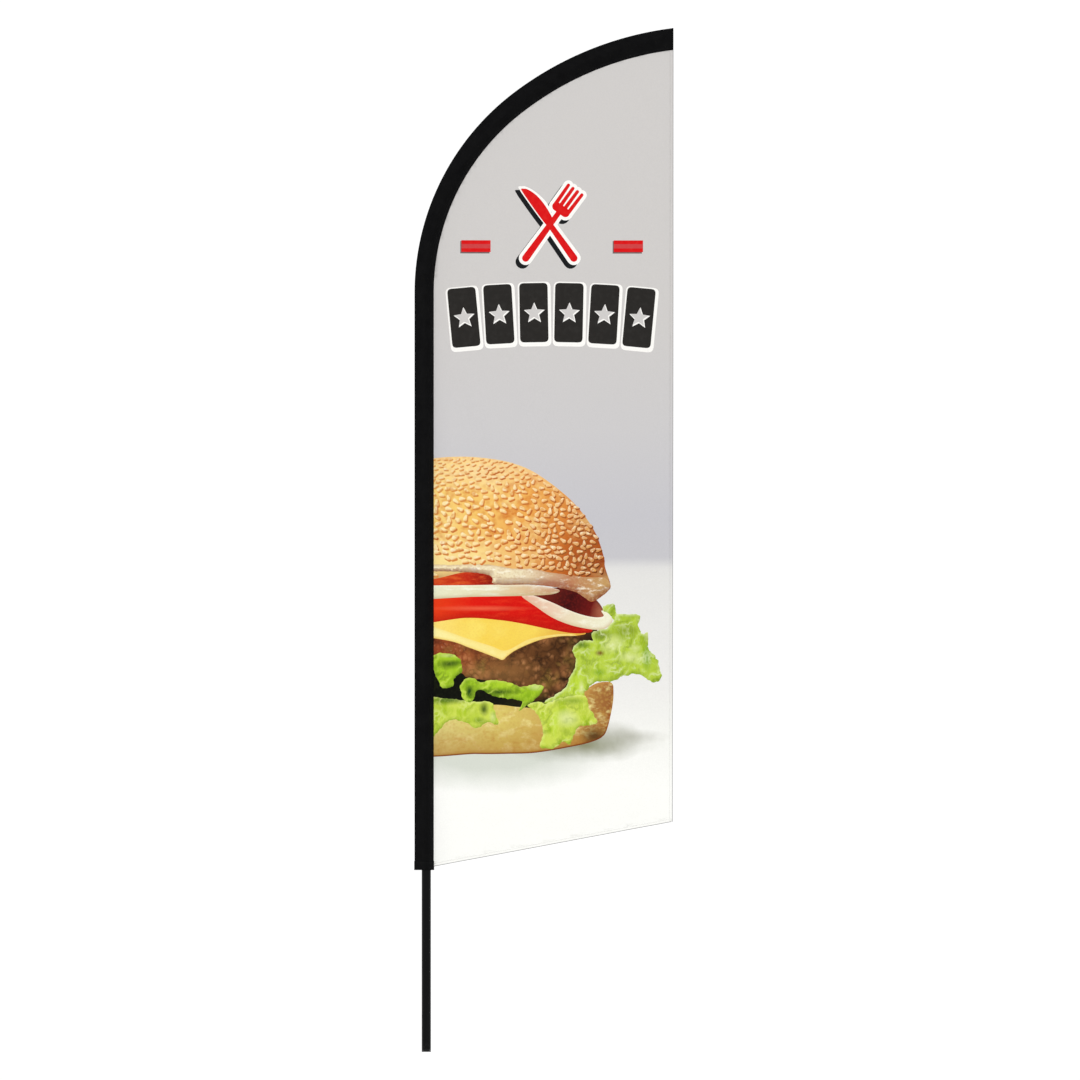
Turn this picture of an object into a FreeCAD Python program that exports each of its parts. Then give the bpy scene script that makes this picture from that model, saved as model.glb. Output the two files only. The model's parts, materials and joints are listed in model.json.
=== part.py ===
"""Feather flag with a curved top on a sectional pole that swivels on its base's spindle.

Frame: origin at the centre of the pole's foot, +Z up the pole, +X from the pole to the
flag's trailing edge, and the printed front of the flag faces -Y. Millimetres.
"""
import FreeCAD, Part
import math
import os

import Sketcher
from FreeCAD import Placement, Rotation, Vector

DIMENSIONS = [
    # swivel, heights above the foot
    ("foot_dia", 25.0),
    ("foot_flange_top", 3.0),
    ("socket_dia", 18.0),
    ("socket_top", 121.0),
    ("spindle_bore_dia", 15.2),
    ("spindle_bore_depth", 112.0),
    ("cap_seat_dia", 16.2),
    ("cap_dia", 16.1),
    ("cap_thickness", 8.0),
    ("cap_height", 112.1),
    ("clip_groove_dia", 16.8),
    ("clip_groove_bottom", 105.4),
    ("clip_groove_top", 106.5),
    ("clip_bore_dia", 16.9),
    ("clip_dia", 20.8),
    ("clip_thickness", 1.0),
    ("clip_height", 105.45),
    ("clip_opening", 3.0),
    ("washer_bore_dia", 18.2),
    ("washer_dia", 24.6),
    ("washer_thickness", 0.95),
    ("washer_height", 3.05),
    ("bush_bore_dia", 18.12),
    ("bush_dia", 21.9),
    ("bush_flange_thickness", 1.9),
    ("lower_bush_height", 4.1),
    ("lower_bush_length", 28.0),
    ("upper_bush_height", 85.0),
    ("upper_bush_length", 20.0),
    # pole tubes
    ("lower_tube_dia", 25.0),
    ("lower_tube_bore", 22.0),
    ("lower_tube_height", 6.05),
    ("lower_tube_length", 993.95),
    ("middle_tube_dia", 21.8),
    ("middle_tube_bore", 19.0),
    ("middle_tube_height", 880.0),
    ("middle_tube_length", 820.0),
    ("upper_tube_dia", 18.8),
    ("upper_tube_bore", 15.4),
    ("upper_tube_height", 1580.0),
    ("upper_tube_length", 490.0),
    # end collars on the two lower tubes
    ("collar_seat_depth", 15.7),
    ("collar_length", 18.0),
    ("lower_collar_dia", 27.0),
    ("lower_collar_seat", 25.1),
    ("lower_collar_bore", 22.0),
    ("lower_collar_height", 984.4),
    ("upper_collar_dia", 24.0),
    ("upper_collar_seat", 21.9),
    ("upper_collar_bore", 19.0),
    ("upper_collar_height", 1684.4),
    # snap buttons and their springs, placed by distance from the pole's axis
    ("button_hole_dia", 7.2),
    ("button_dia", 7.0),
    ("button_length", 8.0),
    ("button_dome", 1.8),
    ("button_flange_dia", 8.6),
    ("button_flange_thickness", 1.0),
    ("lower_button_height", 940.0),
    ("lower_button_inset", 6.9),
    ("upper_button_height", 1640.0),
    ("upper_button_inset", 5.3),
    ("spring_leaf", 0.8),
    ("spring_width", 7.0),
    ("spring_front_leg", 38.0),
    ("spring_rear_leg", 24.0),
    ("spring_above_button", 8.0),
    ("lower_spring_front", 6.8),
    ("lower_spring_rear", 8.6),
    ("upper_spring_front", 5.2),
    ("upper_spring_rear", 6.7),
    # flexible rods in the curved top
    ("ferrule_dia", 15.3),
    ("ferrule_bore", 11.2),
    ("ferrule_stem", 60.0),
    ("ferrule_length", 68.0),
    ("ferrule_height", 2010.1),
    ("lower_rod_dia", 11.0),
    ("lower_rod_height", 2014.0),
    ("rod_bend_height", 2076.5),
    ("lower_rod_radius", 660.0),
    ("lower_rod_turn", 52.2),
    ("upper_rod_dia", 8.0),
    ("upper_rod_radius", 915.0),
    ("upper_rod_turn", 28.2),
    ("rod_end_gap", 0.2),
    ("coupling_dia", 14.0),
    ("coupling_lower_bore", 11.2),
    ("coupling_upper_bore", 8.2),
    ("coupling_reach", 40.0),
    ("tip_cap_dia", 12.0),
    ("tip_cap_bore", 8.2),
    ("tip_cap_depth", 18.0),
    ("tip_cap_length", 23.0),
    ("tip_cap_round", 3.0),
    # pole sleeve: distances from the pole's axis, and the two arcs of each edge
    ("sleeve_bottom", 497.0),
    ("sleeve_hem_length", 25.0),
    ("sleeve_wall", 1.0),
    ("sleeve_round_dia", 30.6),
    ("sleeve_lip_dia", 3.0),
    ("sleeve_fold", 32.2),
    ("sleeve_seam", 20.6),
    ("sleeve_bend_height", 2076.5),
    ("fold_radius", 687.0),
    ("fold_turn", 52.9),
    ("fold_end_radius", 902.0),
    ("seam_radius", 622.3),
    ("seam_turn", 51.5),
    ("seam_end_radius", 842.5),
    ("sleeve_tip_round_dia", 17.0),
    ("hem_swell", 0.2),
    ("closure_thickness", 3.0),
    ("closure_gap", 0.3),
    # printed panel
    ("panel_thickness", 0.6),
    ("panel_gap", 0.3),
    ("panel_right", 676.0),
    ("panel_seam_bottom", 507.0),
    ("panel_trailing_bottom", 632.0),
    ("hem_width", 10.0),
    ("hem_thickness", 1.4),
    # tension strap and its stud, on the rear
    ("stud_height", 415.0),
    ("stud_dia", 5.0),
    ("stud_hole_dia", 5.2),
    ("stud_flange_dia", 9.0),
    ("stud_head_dia", 7.5),
    ("stud_start", 5.0),
    ("stud_flange_bottom", 7.6),
    ("stud_flange_top", 9.1),
    ("stud_head_bottom", 16.0),
    ("stud_length", 18.0),
    ("nut_width", 8.0),
    ("nut_bore", 5.1),
    ("nut_thickness", 3.9),
    ("nut_start", 6.0),
    ("strap_width", 16.0),
    ("strap_thickness", 1.6),
    ("strap_distance", 18.2),
    ("strap_bottom", 385.0),
    ("strap_length", 111.0),
    ("strap_corner", 5.0),
    ("strap_hole_dia", 11.2),
    ("anchor_bottom", 499.5),
    ("anchor_length", 40.0),
    ("anchor_distance", 17.5),
    ("eyelet_bore", 9.0),
    ("eyelet_barrel", 11.0),
    ("eyelet_dia", 14.0),
    ("eyelet_start", 15.9),
    ("eyelet_rear_flange", 0.6),
    ("eyelet_front_flange", 2.4),
    ("eyelet_length", 3.0),
]
SECTION_STATIONS = 7  # cross-sections that shape the curved sleeve
REACH_BEYOND = 40.0  # how far a cutting box stands past the cloth, mm
SLEEVE_OVERRUN = 2.5  # how far the sleeve is drawn past the rod before it is cut off, degrees

doc = FreeCAD.newDocument("feather_flag")
sheet = doc.addObject("Spreadsheet::Sheet", "Dimensions")
for row, (alias, value) in enumerate(DIMENSIONS, start=1):
    sheet.set(f"A{row}", alias)
    sheet.set(f"B{row}", str(value))
    sheet.setAlias(f"B{row}", alias)
doc.recompute()

SIZE = dict(DIMENSIONS)
ZERO = (0, None)
subparts = []


# ---------------------------------------------------------------- drawing helpers


def cell(alias):
    """The expression for one cell of the sheet."""
    return f"Dimensions.{alias}"


def new_body(label):
    """A PartDesign body that becomes one sub-part."""
    body = doc.addObject("PartDesign::Body", label)
    body.Label = label
    subparts.append(body)
    return body


def new_sketch(body, name, role="XZ_Plane"):
    """A sketch on one of the body's origin planes."""
    sketch = body.newObject("Sketcher::SketchObject", f"{body.Label}_{name}")
    plane = next(p for p in body.Origin.OriginFeatures if p.Role == role)
    sketch.AttachmentSupport = [(plane, "")]
    sketch.MapMode = "FlatFace"
    return sketch


def constrain(sketch, *terms, to=None):
    """Add one constraint and, with `to`, bind its value to an expression."""
    index = sketch.addConstraint(Sketcher.Constraint(*terms))
    if to:
        sketch.setExpression(f"Constraints[{index}]", to)
    return index


def place_point(sketch, geometry, vertex, across, up):
    """Fix a point by two (value, expression) distances from the origin; a zero lies on the axis."""
    for kind, axis, (value, expression) in (("DistanceX", -2, across), ("DistanceY", -1, up)):
        if value == 0:
            constrain(sketch, "PointOnObject", geometry, vertex, axis)
        elif value < 0:
            constrain(sketch, kind, geometry, vertex, -1, 1, -value, to=f"-({expression})")
        else:
            constrain(sketch, kind, -1, 1, geometry, vertex, value, to=expression)


def full(alias):
    """A cell, as (value, expression)."""
    return SIZE[alias], cell(alias)


def half(alias):
    """Half of a cell, as (value, expression)."""
    return SIZE[alias] / 2, f"{cell(alias)} / 2"


def minus(amount):
    """The negative of a (value, expression)."""
    return -amount[0], f"-({amount[1]})"


def polygon(sketch, points):
    """A closed outline through points given as pairs of (value, expression)."""
    corners = [Vector(across[0], up[0], 0) for across, up in points]
    lines = []
    for start, end in zip(corners, corners[1:] + corners[:1]):
        lines.append(sketch.addGeometry(Part.LineSegment(start, end)))
    for line, following in zip(lines, lines[1:] + lines[:1]):
        constrain(sketch, "Coincident", line, 2, following, 1)
    for line, (across, up) in zip(lines, points):
        place_point(sketch, line, 1, across, up)


def rectangle(sketch, left, right, bottom, top):
    """A rectangle between distances given as (value, expression)."""
    polygon(sketch, [(left, bottom), (right, bottom), (right, top), (left, top)])


def circle(sketch, diameter, up=ZERO):
    """A circle of a cell's diameter, centred on the sketch's vertical axis at a (value, expression)."""
    rim = Part.Circle(Vector(0, up[0], 0), Vector(0, 0, 1), SIZE[diameter] / 2)
    ring_line = sketch.addGeometry(rim)
    constrain(sketch, "Diameter", ring_line, SIZE[diameter], to=cell(diameter))
    place_point(sketch, ring_line, 3, ZERO, up)


def pad(body, sketch, length, midplane=False):
    """Extrude a sketch by a cell's length."""
    feature = body.newObject("PartDesign::Pad", f"{body.Label}_pad")
    feature.Profile = sketch
    feature.setExpression("Length", length)
    if midplane:
        feature.SideType = "Symmetric"
    return feature


def pocket_through(body, sketch, both_sides=True):
    """Cut a sketch right through, on both sides of its plane or only behind it."""
    doc.recompute()
    before = body.Shape.Volume
    feature = body.newObject("PartDesign::Pocket", f"{sketch.Name}_cut")
    feature.Profile = sketch
    feature.Type = "ThroughAll"
    if both_sides:
        feature.SideType = "Symmetric"
    doc.recompute()
    if body.Shape.Volume >= before:
        raise ValueError(f"{sketch.Name} cuts nothing")
    return feature


def turned(label, profile):
    """A body turned about its own Z axis from corners given as (diameter cell, height cell)."""
    body = new_body(label)
    sketch = new_sketch(body, "profile")
    points = []
    for diameter, up in profile:
        points.append((half(diameter) if diameter else ZERO, full(up) if up else ZERO))
    polygon(sketch, points)
    turn = body.newObject("PartDesign::Revolution", f"{label}_turn")
    turn.Profile = sketch
    turn.ReferenceAxis = (sketch, ["V_Axis"])
    turn.Angle = 360
    return body


def ring(label, outer, inner, length):
    """A plain tube or washer standing on its own origin."""
    body = new_body(label)
    sketch = new_sketch(body, "section", "XY_Plane")
    circle(sketch, outer)
    circle(sketch, inner)
    pad(body, sketch, cell(length))
    return body


def lift(body, height):
    """Stand a body at a cell's height on the pole's axis."""
    body.setExpression("Placement.Base.z", cell(height))


def arc_path(sketch, radius, length=None, turn=None, downwards=False):
    """An arc that leaves the sketch's origin along +Z (or -Z) and bends towards +X."""
    reach = SIZE[radius]
    angle = SIZE[length] / reach if length else math.radians(SIZE[turn])
    low, high = (math.pi, math.pi + angle) if downwards else (math.pi - angle, math.pi)
    rim = Part.Circle(Vector(reach, 0, 0), Vector(0, 0, 1), reach)
    bend = sketch.addGeometry(Part.ArcOfCircle(rim, low, high))
    root, tip = (1, 2) if downwards else (2, 1)
    constrain(sketch, "Coincident", bend, root, -1, 1)
    constrain(sketch, "PointOnObject", bend, 3, -1)
    constrain(sketch, "Radius", bend, reach, to=cell(radius))
    across = reach * (1 - math.cos(angle))
    bound = f"{cell(length)} / {cell(radius)} * 1 rad" if length else f"{cell(turn)} * 1 deg"
    constrain(sketch, "DistanceX", -1, 1, bend, tip, across, to=f"{cell(radius)} * (1 - cos({bound}))")


def pipe(body, profile, path):
    """Sweep a profile sketch along a path sketch."""
    feature = body.newObject("PartDesign::AdditivePipe", f"{profile.Name}_pipe")
    feature.Profile = profile
    feature.Spine = path
    return feature


def round_edges(body, feature, radius, chosen):
    """Fillet the edges of a feature that `chosen` picks by their centre and length."""
    doc.recompute()
    names = [f"Edge{n}" for n, edge in enumerate(feature.Shape.Edges, start=1) if chosen(edge)]
    fillet = body.newObject("PartDesign::Fillet", f"{body.Label}_round")
    fillet.Base = (feature, names)
    fillet.setExpression("Radius", cell(radius))
    return fillet


# ---------------------------------------------------------------- swivel in the pole's foot


def spindle_socket():
    """Steel socket that takes the base's spindle; the rest of the pole turns on it."""
    turned("spindle_socket", [
        ("spindle_bore_dia", None),
        ("foot_dia", None),
        ("foot_dia", "foot_flange_top"),
        ("socket_dia", "foot_flange_top"),
        ("socket_dia", "clip_groove_bottom"),
        ("clip_groove_dia", "clip_groove_bottom"),
        ("clip_groove_dia", "clip_groove_top"),
        ("socket_dia", "clip_groove_top"),
        ("socket_dia", "socket_top"),
        ("cap_seat_dia", "socket_top"),
        ("cap_seat_dia", "spindle_bore_depth"),
        ("spindle_bore_dia", "spindle_bore_depth"),
    ])


def socket_cap():
    """Disc that closes the socket, on which the spindle's end rests."""
    body = new_body("socket_cap")
    sketch = new_sketch(body, "section", "XY_Plane")
    circle(sketch, "cap_dia")
    pad(body, sketch, cell("cap_thickness"))
    lift(body, "cap_height")


def thrust_washer():
    """Washer between the socket's flange and the lower bush."""
    lift(ring("thrust_washer", "washer_dia", "washer_bore_dia", "washer_thickness"), "washer_height")


def retaining_ring():
    """Open spring ring in the socket's groove, which keeps the pole from lifting off."""
    body = ring("retaining_ring", "clip_dia", "clip_bore_dia", "clip_thickness")
    gap = new_sketch(body, "opening", "XY_Plane")
    rectangle(gap, minus(half("clip_opening")), half("clip_opening"), ZERO, full("clip_dia"))
    pocket_through(body, gap)
    lift(body, "clip_height")


def bushes():
    """Two plastic bushes in the lower tube, in which the socket runs."""
    lower = turned("lower_bush", [
        ("bush_bore_dia", None),
        ("foot_dia", None),
        ("foot_dia", "bush_flange_thickness"),
        ("bush_dia", "bush_flange_thickness"),
        ("bush_dia", "lower_bush_length"),
        ("bush_bore_dia", "lower_bush_length"),
    ])
    lift(lower, "lower_bush_height")
    upper = ring("upper_bush", "bush_dia", "bush_bore_dia", "upper_bush_length")
    lift(upper, "upper_bush_height")


# ---------------------------------------------------------------- pole tubes and joints


def drill(body, name, diameter, height, foot, role="YZ_Plane"):
    """Drill one wall of a tube: the YZ plane's hole faces -X, the XZ plane's faces +Y."""
    sketch = new_sketch(body, name, role)
    circle(sketch, diameter, up=(SIZE[height] - SIZE[foot], f"{cell(height)} - {cell(foot)}"))
    pocket_through(body, sketch, both_sides=False)


def pole_tubes():
    """Three tubes that plug into one another, drilled for the snap buttons and the strap's stud."""
    lower = ring("lower_pole_tube", "lower_tube_dia", "lower_tube_bore", "lower_tube_length")
    drill(lower, "button_hole", "button_hole_dia", "lower_button_height", "lower_tube_height")
    drill(lower, "stud_hole", "stud_hole_dia", "stud_height", "lower_tube_height", "XZ_Plane")
    lift(lower, "lower_tube_height")
    middle = ring("middle_pole_tube", "middle_tube_dia", "middle_tube_bore", "middle_tube_length")
    drill(middle, "lower_button_hole", "button_hole_dia", "lower_button_height", "middle_tube_height")
    drill(middle, "upper_button_hole", "button_hole_dia", "upper_button_height", "middle_tube_height")
    lift(middle, "middle_tube_height")
    upper = ring("upper_pole_tube", "upper_tube_dia", "upper_tube_bore", "upper_tube_length")
    drill(upper, "button_hole", "button_hole_dia", "upper_button_height", "upper_tube_height")
    lift(upper, "upper_tube_height")


def joint_collar(which):
    """Plastic collar over a tube's upper end, with a lip that guides the next tube."""
    body = turned(f"{which}_joint_collar", [
        (f"{which}_collar_seat", None),
        (f"{which}_collar_dia", None),
        (f"{which}_collar_dia", "collar_length"),
        (f"{which}_collar_bore", "collar_length"),
        (f"{which}_collar_bore", "collar_seat_depth"),
        (f"{which}_collar_seat", "collar_seat_depth"),
    ])
    lift(body, f"{which}_collar_height")


def snap_button(which):
    """Button that locks two tubes together; it points to -X, into the slack of the sleeve."""
    body = turned(f"{which}_snap_button", [
        (None, None),
        ("button_flange_dia", None),
        ("button_flange_dia", "button_flange_thickness"),
        ("button_dia", "button_flange_thickness"),
        ("button_dia", "button_length"),
        (None, "button_length"),
    ])
    top = SIZE["button_length"]
    round_edges(body, body.Tip, "button_dome", lambda edge: abs(edge.CenterOfMass.z - top) < 0.01)
    body.Placement = Placement(Vector(0, 0, 0), Rotation(Vector(0, 1, 0), -90))
    body.setExpression("Placement.Base.x", f"-{cell(which + '_button_inset')}")
    body.setExpression("Placement.Base.z", cell(f"{which}_button_height"))


def button_spring(which):
    """Leaf spring bent to a U inside the tube, with the button on its front leg."""
    label = f"{which}_button_spring"
    body = new_body(label)
    front, rear = SIZE[f"{which}_spring_front"], SIZE[f"{which}_spring_rear"]
    leaf = SIZE["spring_leaf"]
    front_leg, rear_leg = SIZE["spring_front_leg"], SIZE["spring_rear_leg"]
    radius = (front + rear - leaf) / 2
    left = -(front - leaf / 2)
    path = new_sketch(body, "path")
    path.addGeometry(Part.LineSegment(Vector(left, 0, 0), Vector(left, -front_leg, 0)))
    bend = Part.Circle(Vector(left + radius, -front_leg, 0), Vector(0, 0, 1), radius)
    path.addGeometry(Part.ArcOfCircle(bend, math.pi, 2 * math.pi))
    right = left + 2 * radius
    path.addGeometry(Part.LineSegment(Vector(right, -front_leg, 0), Vector(right, rear_leg - front_leg, 0)))
    constrain(path, "Vertical", 0)
    constrain(path, "PointOnObject", 0, 1, -1)
    constrain(path, "DistanceX", 0, 1, -1, 1, -left,
              to=f"{cell(which + '_spring_front')} - {cell('spring_leaf')} / 2")
    constrain(path, "DistanceY", 0, 2, 0, 1, front_leg, to=cell("spring_front_leg"))
    constrain(path, "Tangent", 0, 2, 1, 1)
    constrain(path, "Tangent", 1, 2, 2, 1)
    constrain(path, "Vertical", 2)
    constrain(path, "Radius", 1, radius, to=(
        f"({cell(which + '_spring_front')} + {cell(which + '_spring_rear')} - {cell('spring_leaf')}) / 2"))
    constrain(path, "DistanceY", 2, 1, 2, 2, rear_leg, to=cell("spring_rear_leg"))
    strip = new_sketch(body, "strip", "XY_Plane")
    outer = (-front, f"-{cell(which + '_spring_front')}")
    inner = (leaf - front, f"{cell('spring_leaf')} - {cell(which + '_spring_front')}")
    rectangle(strip, outer, inner, minus(half("spring_width")), half("spring_width"))
    pipe(body, strip, path)
    height = f"{cell(which + '_button_height')} + {cell('spring_above_button')}"
    body.setExpression("Placement.Base.z", height)


# ---------------------------------------------------------------- flexible rods


def rod_frame(turn):
    """Placement on the rods' centre line after `turn` degrees: Z runs along it, X faces the flag."""
    first = SIZE["lower_rod_turn"]
    radius = SIZE["lower_rod_radius"]
    centre = Vector(radius, 0, SIZE["rod_bend_height"])
    along = math.radians(min(turn, first))
    point = centre + radius * Vector(-math.cos(along), 0, math.sin(along))
    if turn > first:
        radius = SIZE["upper_rod_radius"]
        start, end = math.radians(first), math.radians(turn)
        centre = point + radius * Vector(math.cos(start), 0, -math.sin(start))
        point = centre + radius * Vector(-math.cos(end), 0, math.sin(end))
    return Placement(point, Rotation(Vector(0, 1, 0), turn))


def rod_ferrule():
    """Turned ferrule that seats the flexible rod in the upper tube."""
    body = turned("rod_ferrule", [
        ("ferrule_bore", None),
        ("ferrule_dia", None),
        ("ferrule_dia", "ferrule_stem"),
        ("upper_tube_dia", "ferrule_stem"),
        ("upper_tube_dia", "ferrule_length"),
        ("ferrule_bore", "ferrule_length"),
    ])
    lift(body, "ferrule_height")


def lower_flex_rod():
    """Fibreglass rod, straight in its ferrule and then bent over the first arc."""
    body = new_body("lower_flex_rod")
    rise = SIZE["rod_bend_height"] - SIZE["lower_rod_height"]
    path = new_sketch(body, "bend")
    arc_path(path, "lower_rod_radius", turn="lower_rod_turn")
    stub = new_sketch(body, "stub_section", "XY_Plane")
    circle(stub, "lower_rod_dia")
    straight = body.newObject("PartDesign::Pad", "lower_flex_rod_straight")
    straight.Profile = stub
    straight.Length = rise
    straight.setExpression("Length", f"{cell('rod_bend_height')} - {cell('lower_rod_height')}")
    straight.Reversed = True
    section = new_sketch(body, "bend_section", "XY_Plane")
    circle(section, "lower_rod_dia")
    pipe(body, section, path)
    lift(body, "rod_bend_height")


def upper_flex_rod():
    """Thinner fibreglass rod that carries the curve on to the tip."""
    body = new_body("upper_flex_rod")
    path = new_sketch(body, "bend")
    arc_path(path, "upper_rod_radius", turn="upper_rod_turn")
    section = new_sketch(body, "section", "XY_Plane")
    circle(section, "upper_rod_dia")
    pipe(body, section, path)
    start = rod_frame(SIZE["lower_rod_turn"])
    start.Base += start.Rotation.multVec(Vector(0, 0, SIZE["rod_end_gap"]))
    body.Placement = start


def rod_coupling():
    """Metal ferrule with a wide bore below and a narrow one above, curved with the rods."""
    body = new_body("rod_coupling")
    halves = (
        ("lower", "lower_rod_radius", "coupling_lower_bore", True),
        ("upper", "upper_rod_radius", "coupling_upper_bore", False),
    )
    for name, radius, bore, downwards in halves:
        path = new_sketch(body, f"{name}_path")
        arc_path(path, radius, length="coupling_reach", downwards=downwards)
        section = new_sketch(body, f"{name}_section", "XY_Plane")
        circle(section, "coupling_dia")
        circle(section, bore)
        pipe(body, section, path)
    body.Placement = rod_frame(SIZE["lower_rod_turn"])


def rod_tip_cap():
    """Plastic cap on the rod's end, which pushes against the sleeve's closed end."""
    body = turned("rod_tip_cap", [
        ("tip_cap_bore", None),
        ("tip_cap_dia", None),
        ("tip_cap_dia", "tip_cap_length"),
        (None, "tip_cap_length"),
        (None, "tip_cap_depth"),
        ("tip_cap_bore", "tip_cap_depth"),
    ])
    top = SIZE["tip_cap_length"]
    round_edges(body, body.Tip, "tip_cap_round", lambda edge: (
        abs(edge.CenterOfMass.z - top) < 0.01 and edge.Length > SIZE["tip_cap_dia"]))
    end = rod_frame(SIZE["lower_rod_turn"] + SIZE["upper_rod_turn"])
    end.Base -= end.Rotation.multVec(Vector(0, 0, SIZE["tip_cap_depth"] - 1))
    body.Placement = end


# ---------------------------------------------------------------- black pole sleeve


def sleeve_outline(round_radius, lip_radius, fold, seam):
    """Section of cloth pulled round a pole: a circle on the pole with a lip to either side."""
    left, right = -(fold - lip_radius), seam - lip_radius
    left_turn = math.acos((round_radius - lip_radius) / -left)
    right_turn = math.acos((round_radius - lip_radius) / right)

    def arc(centre, radius, start, end):
        return Part.ArcOfCircle(Part.Circle(Vector(centre, 0, 0), Vector(0, 0, 1), radius), start, end)

    arcs = [
        arc(0, round_radius, right_turn, math.pi - left_turn),
        arc(left, lip_radius, math.pi - left_turn, math.pi + left_turn),
        arc(0, round_radius, math.pi + left_turn, 2 * math.pi - right_turn),
        arc(right, lip_radius, -right_turn, right_turn),
    ]
    edges = []
    for piece, following in zip(arcs, arcs[1:] + arcs[:1]):
        edges += [piece, Part.LineSegment(piece.EndPoint, following.StartPoint)]
    return edges


def sleeve_sketch(body, name, grow):
    """Sketch of the straight sleeve's section, grown outwards by an expression's value."""
    value, expression = grow
    sketch = new_sketch(body, name, "XY_Plane")
    round_radius = SIZE["sleeve_round_dia"] / 2 + value
    lip_radius = SIZE["sleeve_lip_dia"] / 2 + value
    fold, seam = SIZE["sleeve_fold"] + value, SIZE["sleeve_seam"] + value
    pieces = [sketch.addGeometry(edge) for edge in sleeve_outline(round_radius, lip_radius, fold, seam)]
    for piece, following in zip(pieces, pieces[1:] + pieces[:1]):
        constrain(sketch, "Tangent", piece, 2, following, 1)
    front, left, rear, right = pieces[0], pieces[2], pieces[4], pieces[6]
    constrain(sketch, "Coincident", front, 3, -1, 1)
    constrain(sketch, "Coincident", rear, 3, -1, 1)
    constrain(sketch, "Radius", front, round_radius, to=f"{cell('sleeve_round_dia')} / 2 + {expression}")
    constrain(sketch, "Equal", front, rear)
    constrain(sketch, "PointOnObject", left, 3, -1)
    constrain(sketch, "PointOnObject", right, 3, -1)
    constrain(sketch, "Radius", left, lip_radius, to=f"{cell('sleeve_lip_dia')} / 2 + {expression}")
    constrain(sketch, "Equal", left, right)
    constrain(sketch, "DistanceX", left, 3, -1, 1, fold - lip_radius,
              to=f"{cell('sleeve_fold')} - {cell('sleeve_lip_dia')} / 2")
    constrain(sketch, "DistanceX", -1, 1, right, 3, seam - lip_radius,
              to=f"{cell('sleeve_seam')} - {cell('sleeve_lip_dia')} / 2")
    return sketch


def straight_sleeve():
    """Straight part of the sleeve, open at both ends."""
    body = new_body("pole_sleeve")
    outside = sleeve_sketch(body, "outside", (0, "0"))
    hem_top = f"{cell('sleeve_bottom')} + {cell('sleeve_hem_length')}"
    pad(body, outside, f"{cell('sleeve_bend_height')} - ({hem_top})")
    inside = sleeve_sketch(body, "inside", (-SIZE["sleeve_wall"], f"(0 - {cell('sleeve_wall')})"))
    pocket_through(body, inside)
    body.setExpression("Placement.Base.z", hem_top)


def sleeve_hem():
    """Doubled band round the sleeve's mouth."""
    body = new_body("sleeve_hem_band")
    outside = sleeve_sketch(body, "outside", (SIZE["hem_swell"], cell("hem_swell")))
    pad(body, outside, cell("sleeve_hem_length"))
    inside = sleeve_sketch(body, "inside", (-SIZE["sleeve_wall"], f"(0 - {cell('sleeve_wall')})"))
    pocket_through(body, inside)
    lift(body, "sleeve_bottom")


def edge_distance(start, direction, side, near):
    """Distance from a point along a direction to the sleeve's fold or seam edge."""
    first, second = SIZE[f"{side}_radius"], SIZE[f"{side}_end_radius"]
    turn = math.radians(SIZE[f"{side}_turn"])
    straight = -SIZE["sleeve_fold"] if side == "fold" else SIZE["sleeve_seam"]
    centre = Vector(straight + first, 0, SIZE["sleeve_bend_height"])
    radius = first
    if math.atan2(start.z - centre.z, centre.x - start.x) > turn:
        centre -= (second - first) * Vector(-math.cos(turn), 0, math.sin(turn))
        radius = second
    offset = start - centre
    along = offset.dot(direction)
    root = math.sqrt(along ** 2 - offset.dot(offset) + radius ** 2)
    return -along - root if near else -along + root


def curved_solid(inset):
    """The curved sleeve as one solid, its surface moved inwards by `inset`."""
    whole = SIZE["lower_rod_turn"] + SIZE["upper_rod_turn"] + SLEEVE_OVERRUN
    big, small = SIZE["sleeve_round_dia"] / 2, SIZE["sleeve_tip_round_dia"] / 2
    lip = SIZE["sleeve_lip_dia"] / 2
    wires = []
    for station in range(SECTION_STATIONS):
        part = station / (SECTION_STATIONS - 1)
        frame = rod_frame(whole * part)
        inwards = frame.Rotation.multVec(Vector(1, 0, 0))
        fold = edge_distance(frame.Base, -inwards, "fold", near=False)
        seam = edge_distance(frame.Base, inwards, "seam", near=True)
        round_radius = big + (small - big) * part
        edges = sleeve_outline(round_radius - inset, lip - inset, fold - inset, seam - inset)
        wire = Part.Wire([edge.toShape() for edge in edges])
        wire.Placement = frame
        wires.append(wire)
    return Part.makeLoft(wires, True, False)


def slab(left, right):
    """A block that holds the whole curved sleeve between two distances from the pole."""
    width = 2 * REACH_BEYOND
    foot = SIZE["sleeve_bend_height"] - REACH_BEYOND
    corner = Vector(left, -width / 2, foot)
    return Part.makeBox(right - left, width, SIZE["fold_end_radius"] + width, corner)


def feature(label, shape):
    """A sub-part whose shape is worked out with Part's own functions."""
    item = doc.addObject("Part::Feature", label)
    item.Label = label
    item.Shape = shape
    item.Placement = Placement()
    subparts.append(item)


def curved_sleeve():
    """Curved part of the sleeve, which flattens and widens towards the tip."""
    right = SIZE["panel_right"]
    hollow = curved_solid(0).cut(curved_solid(SIZE["sleeve_wall"]))
    feature("curved_sleeve", hollow.common(slab(-2 * SIZE["sleeve_fold"], right)))


def end_closure():
    """Sewn-in end of the sleeve that the rod's cap pushes against."""
    right = SIZE["panel_right"]
    filling = curved_solid(SIZE["sleeve_wall"] + SIZE["closure_gap"])
    feature("sleeve_end_closure", filling.common(slab(right - SIZE["closure_thickness"], right)))


# ---------------------------------------------------------------- printed panel and its hems


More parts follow.
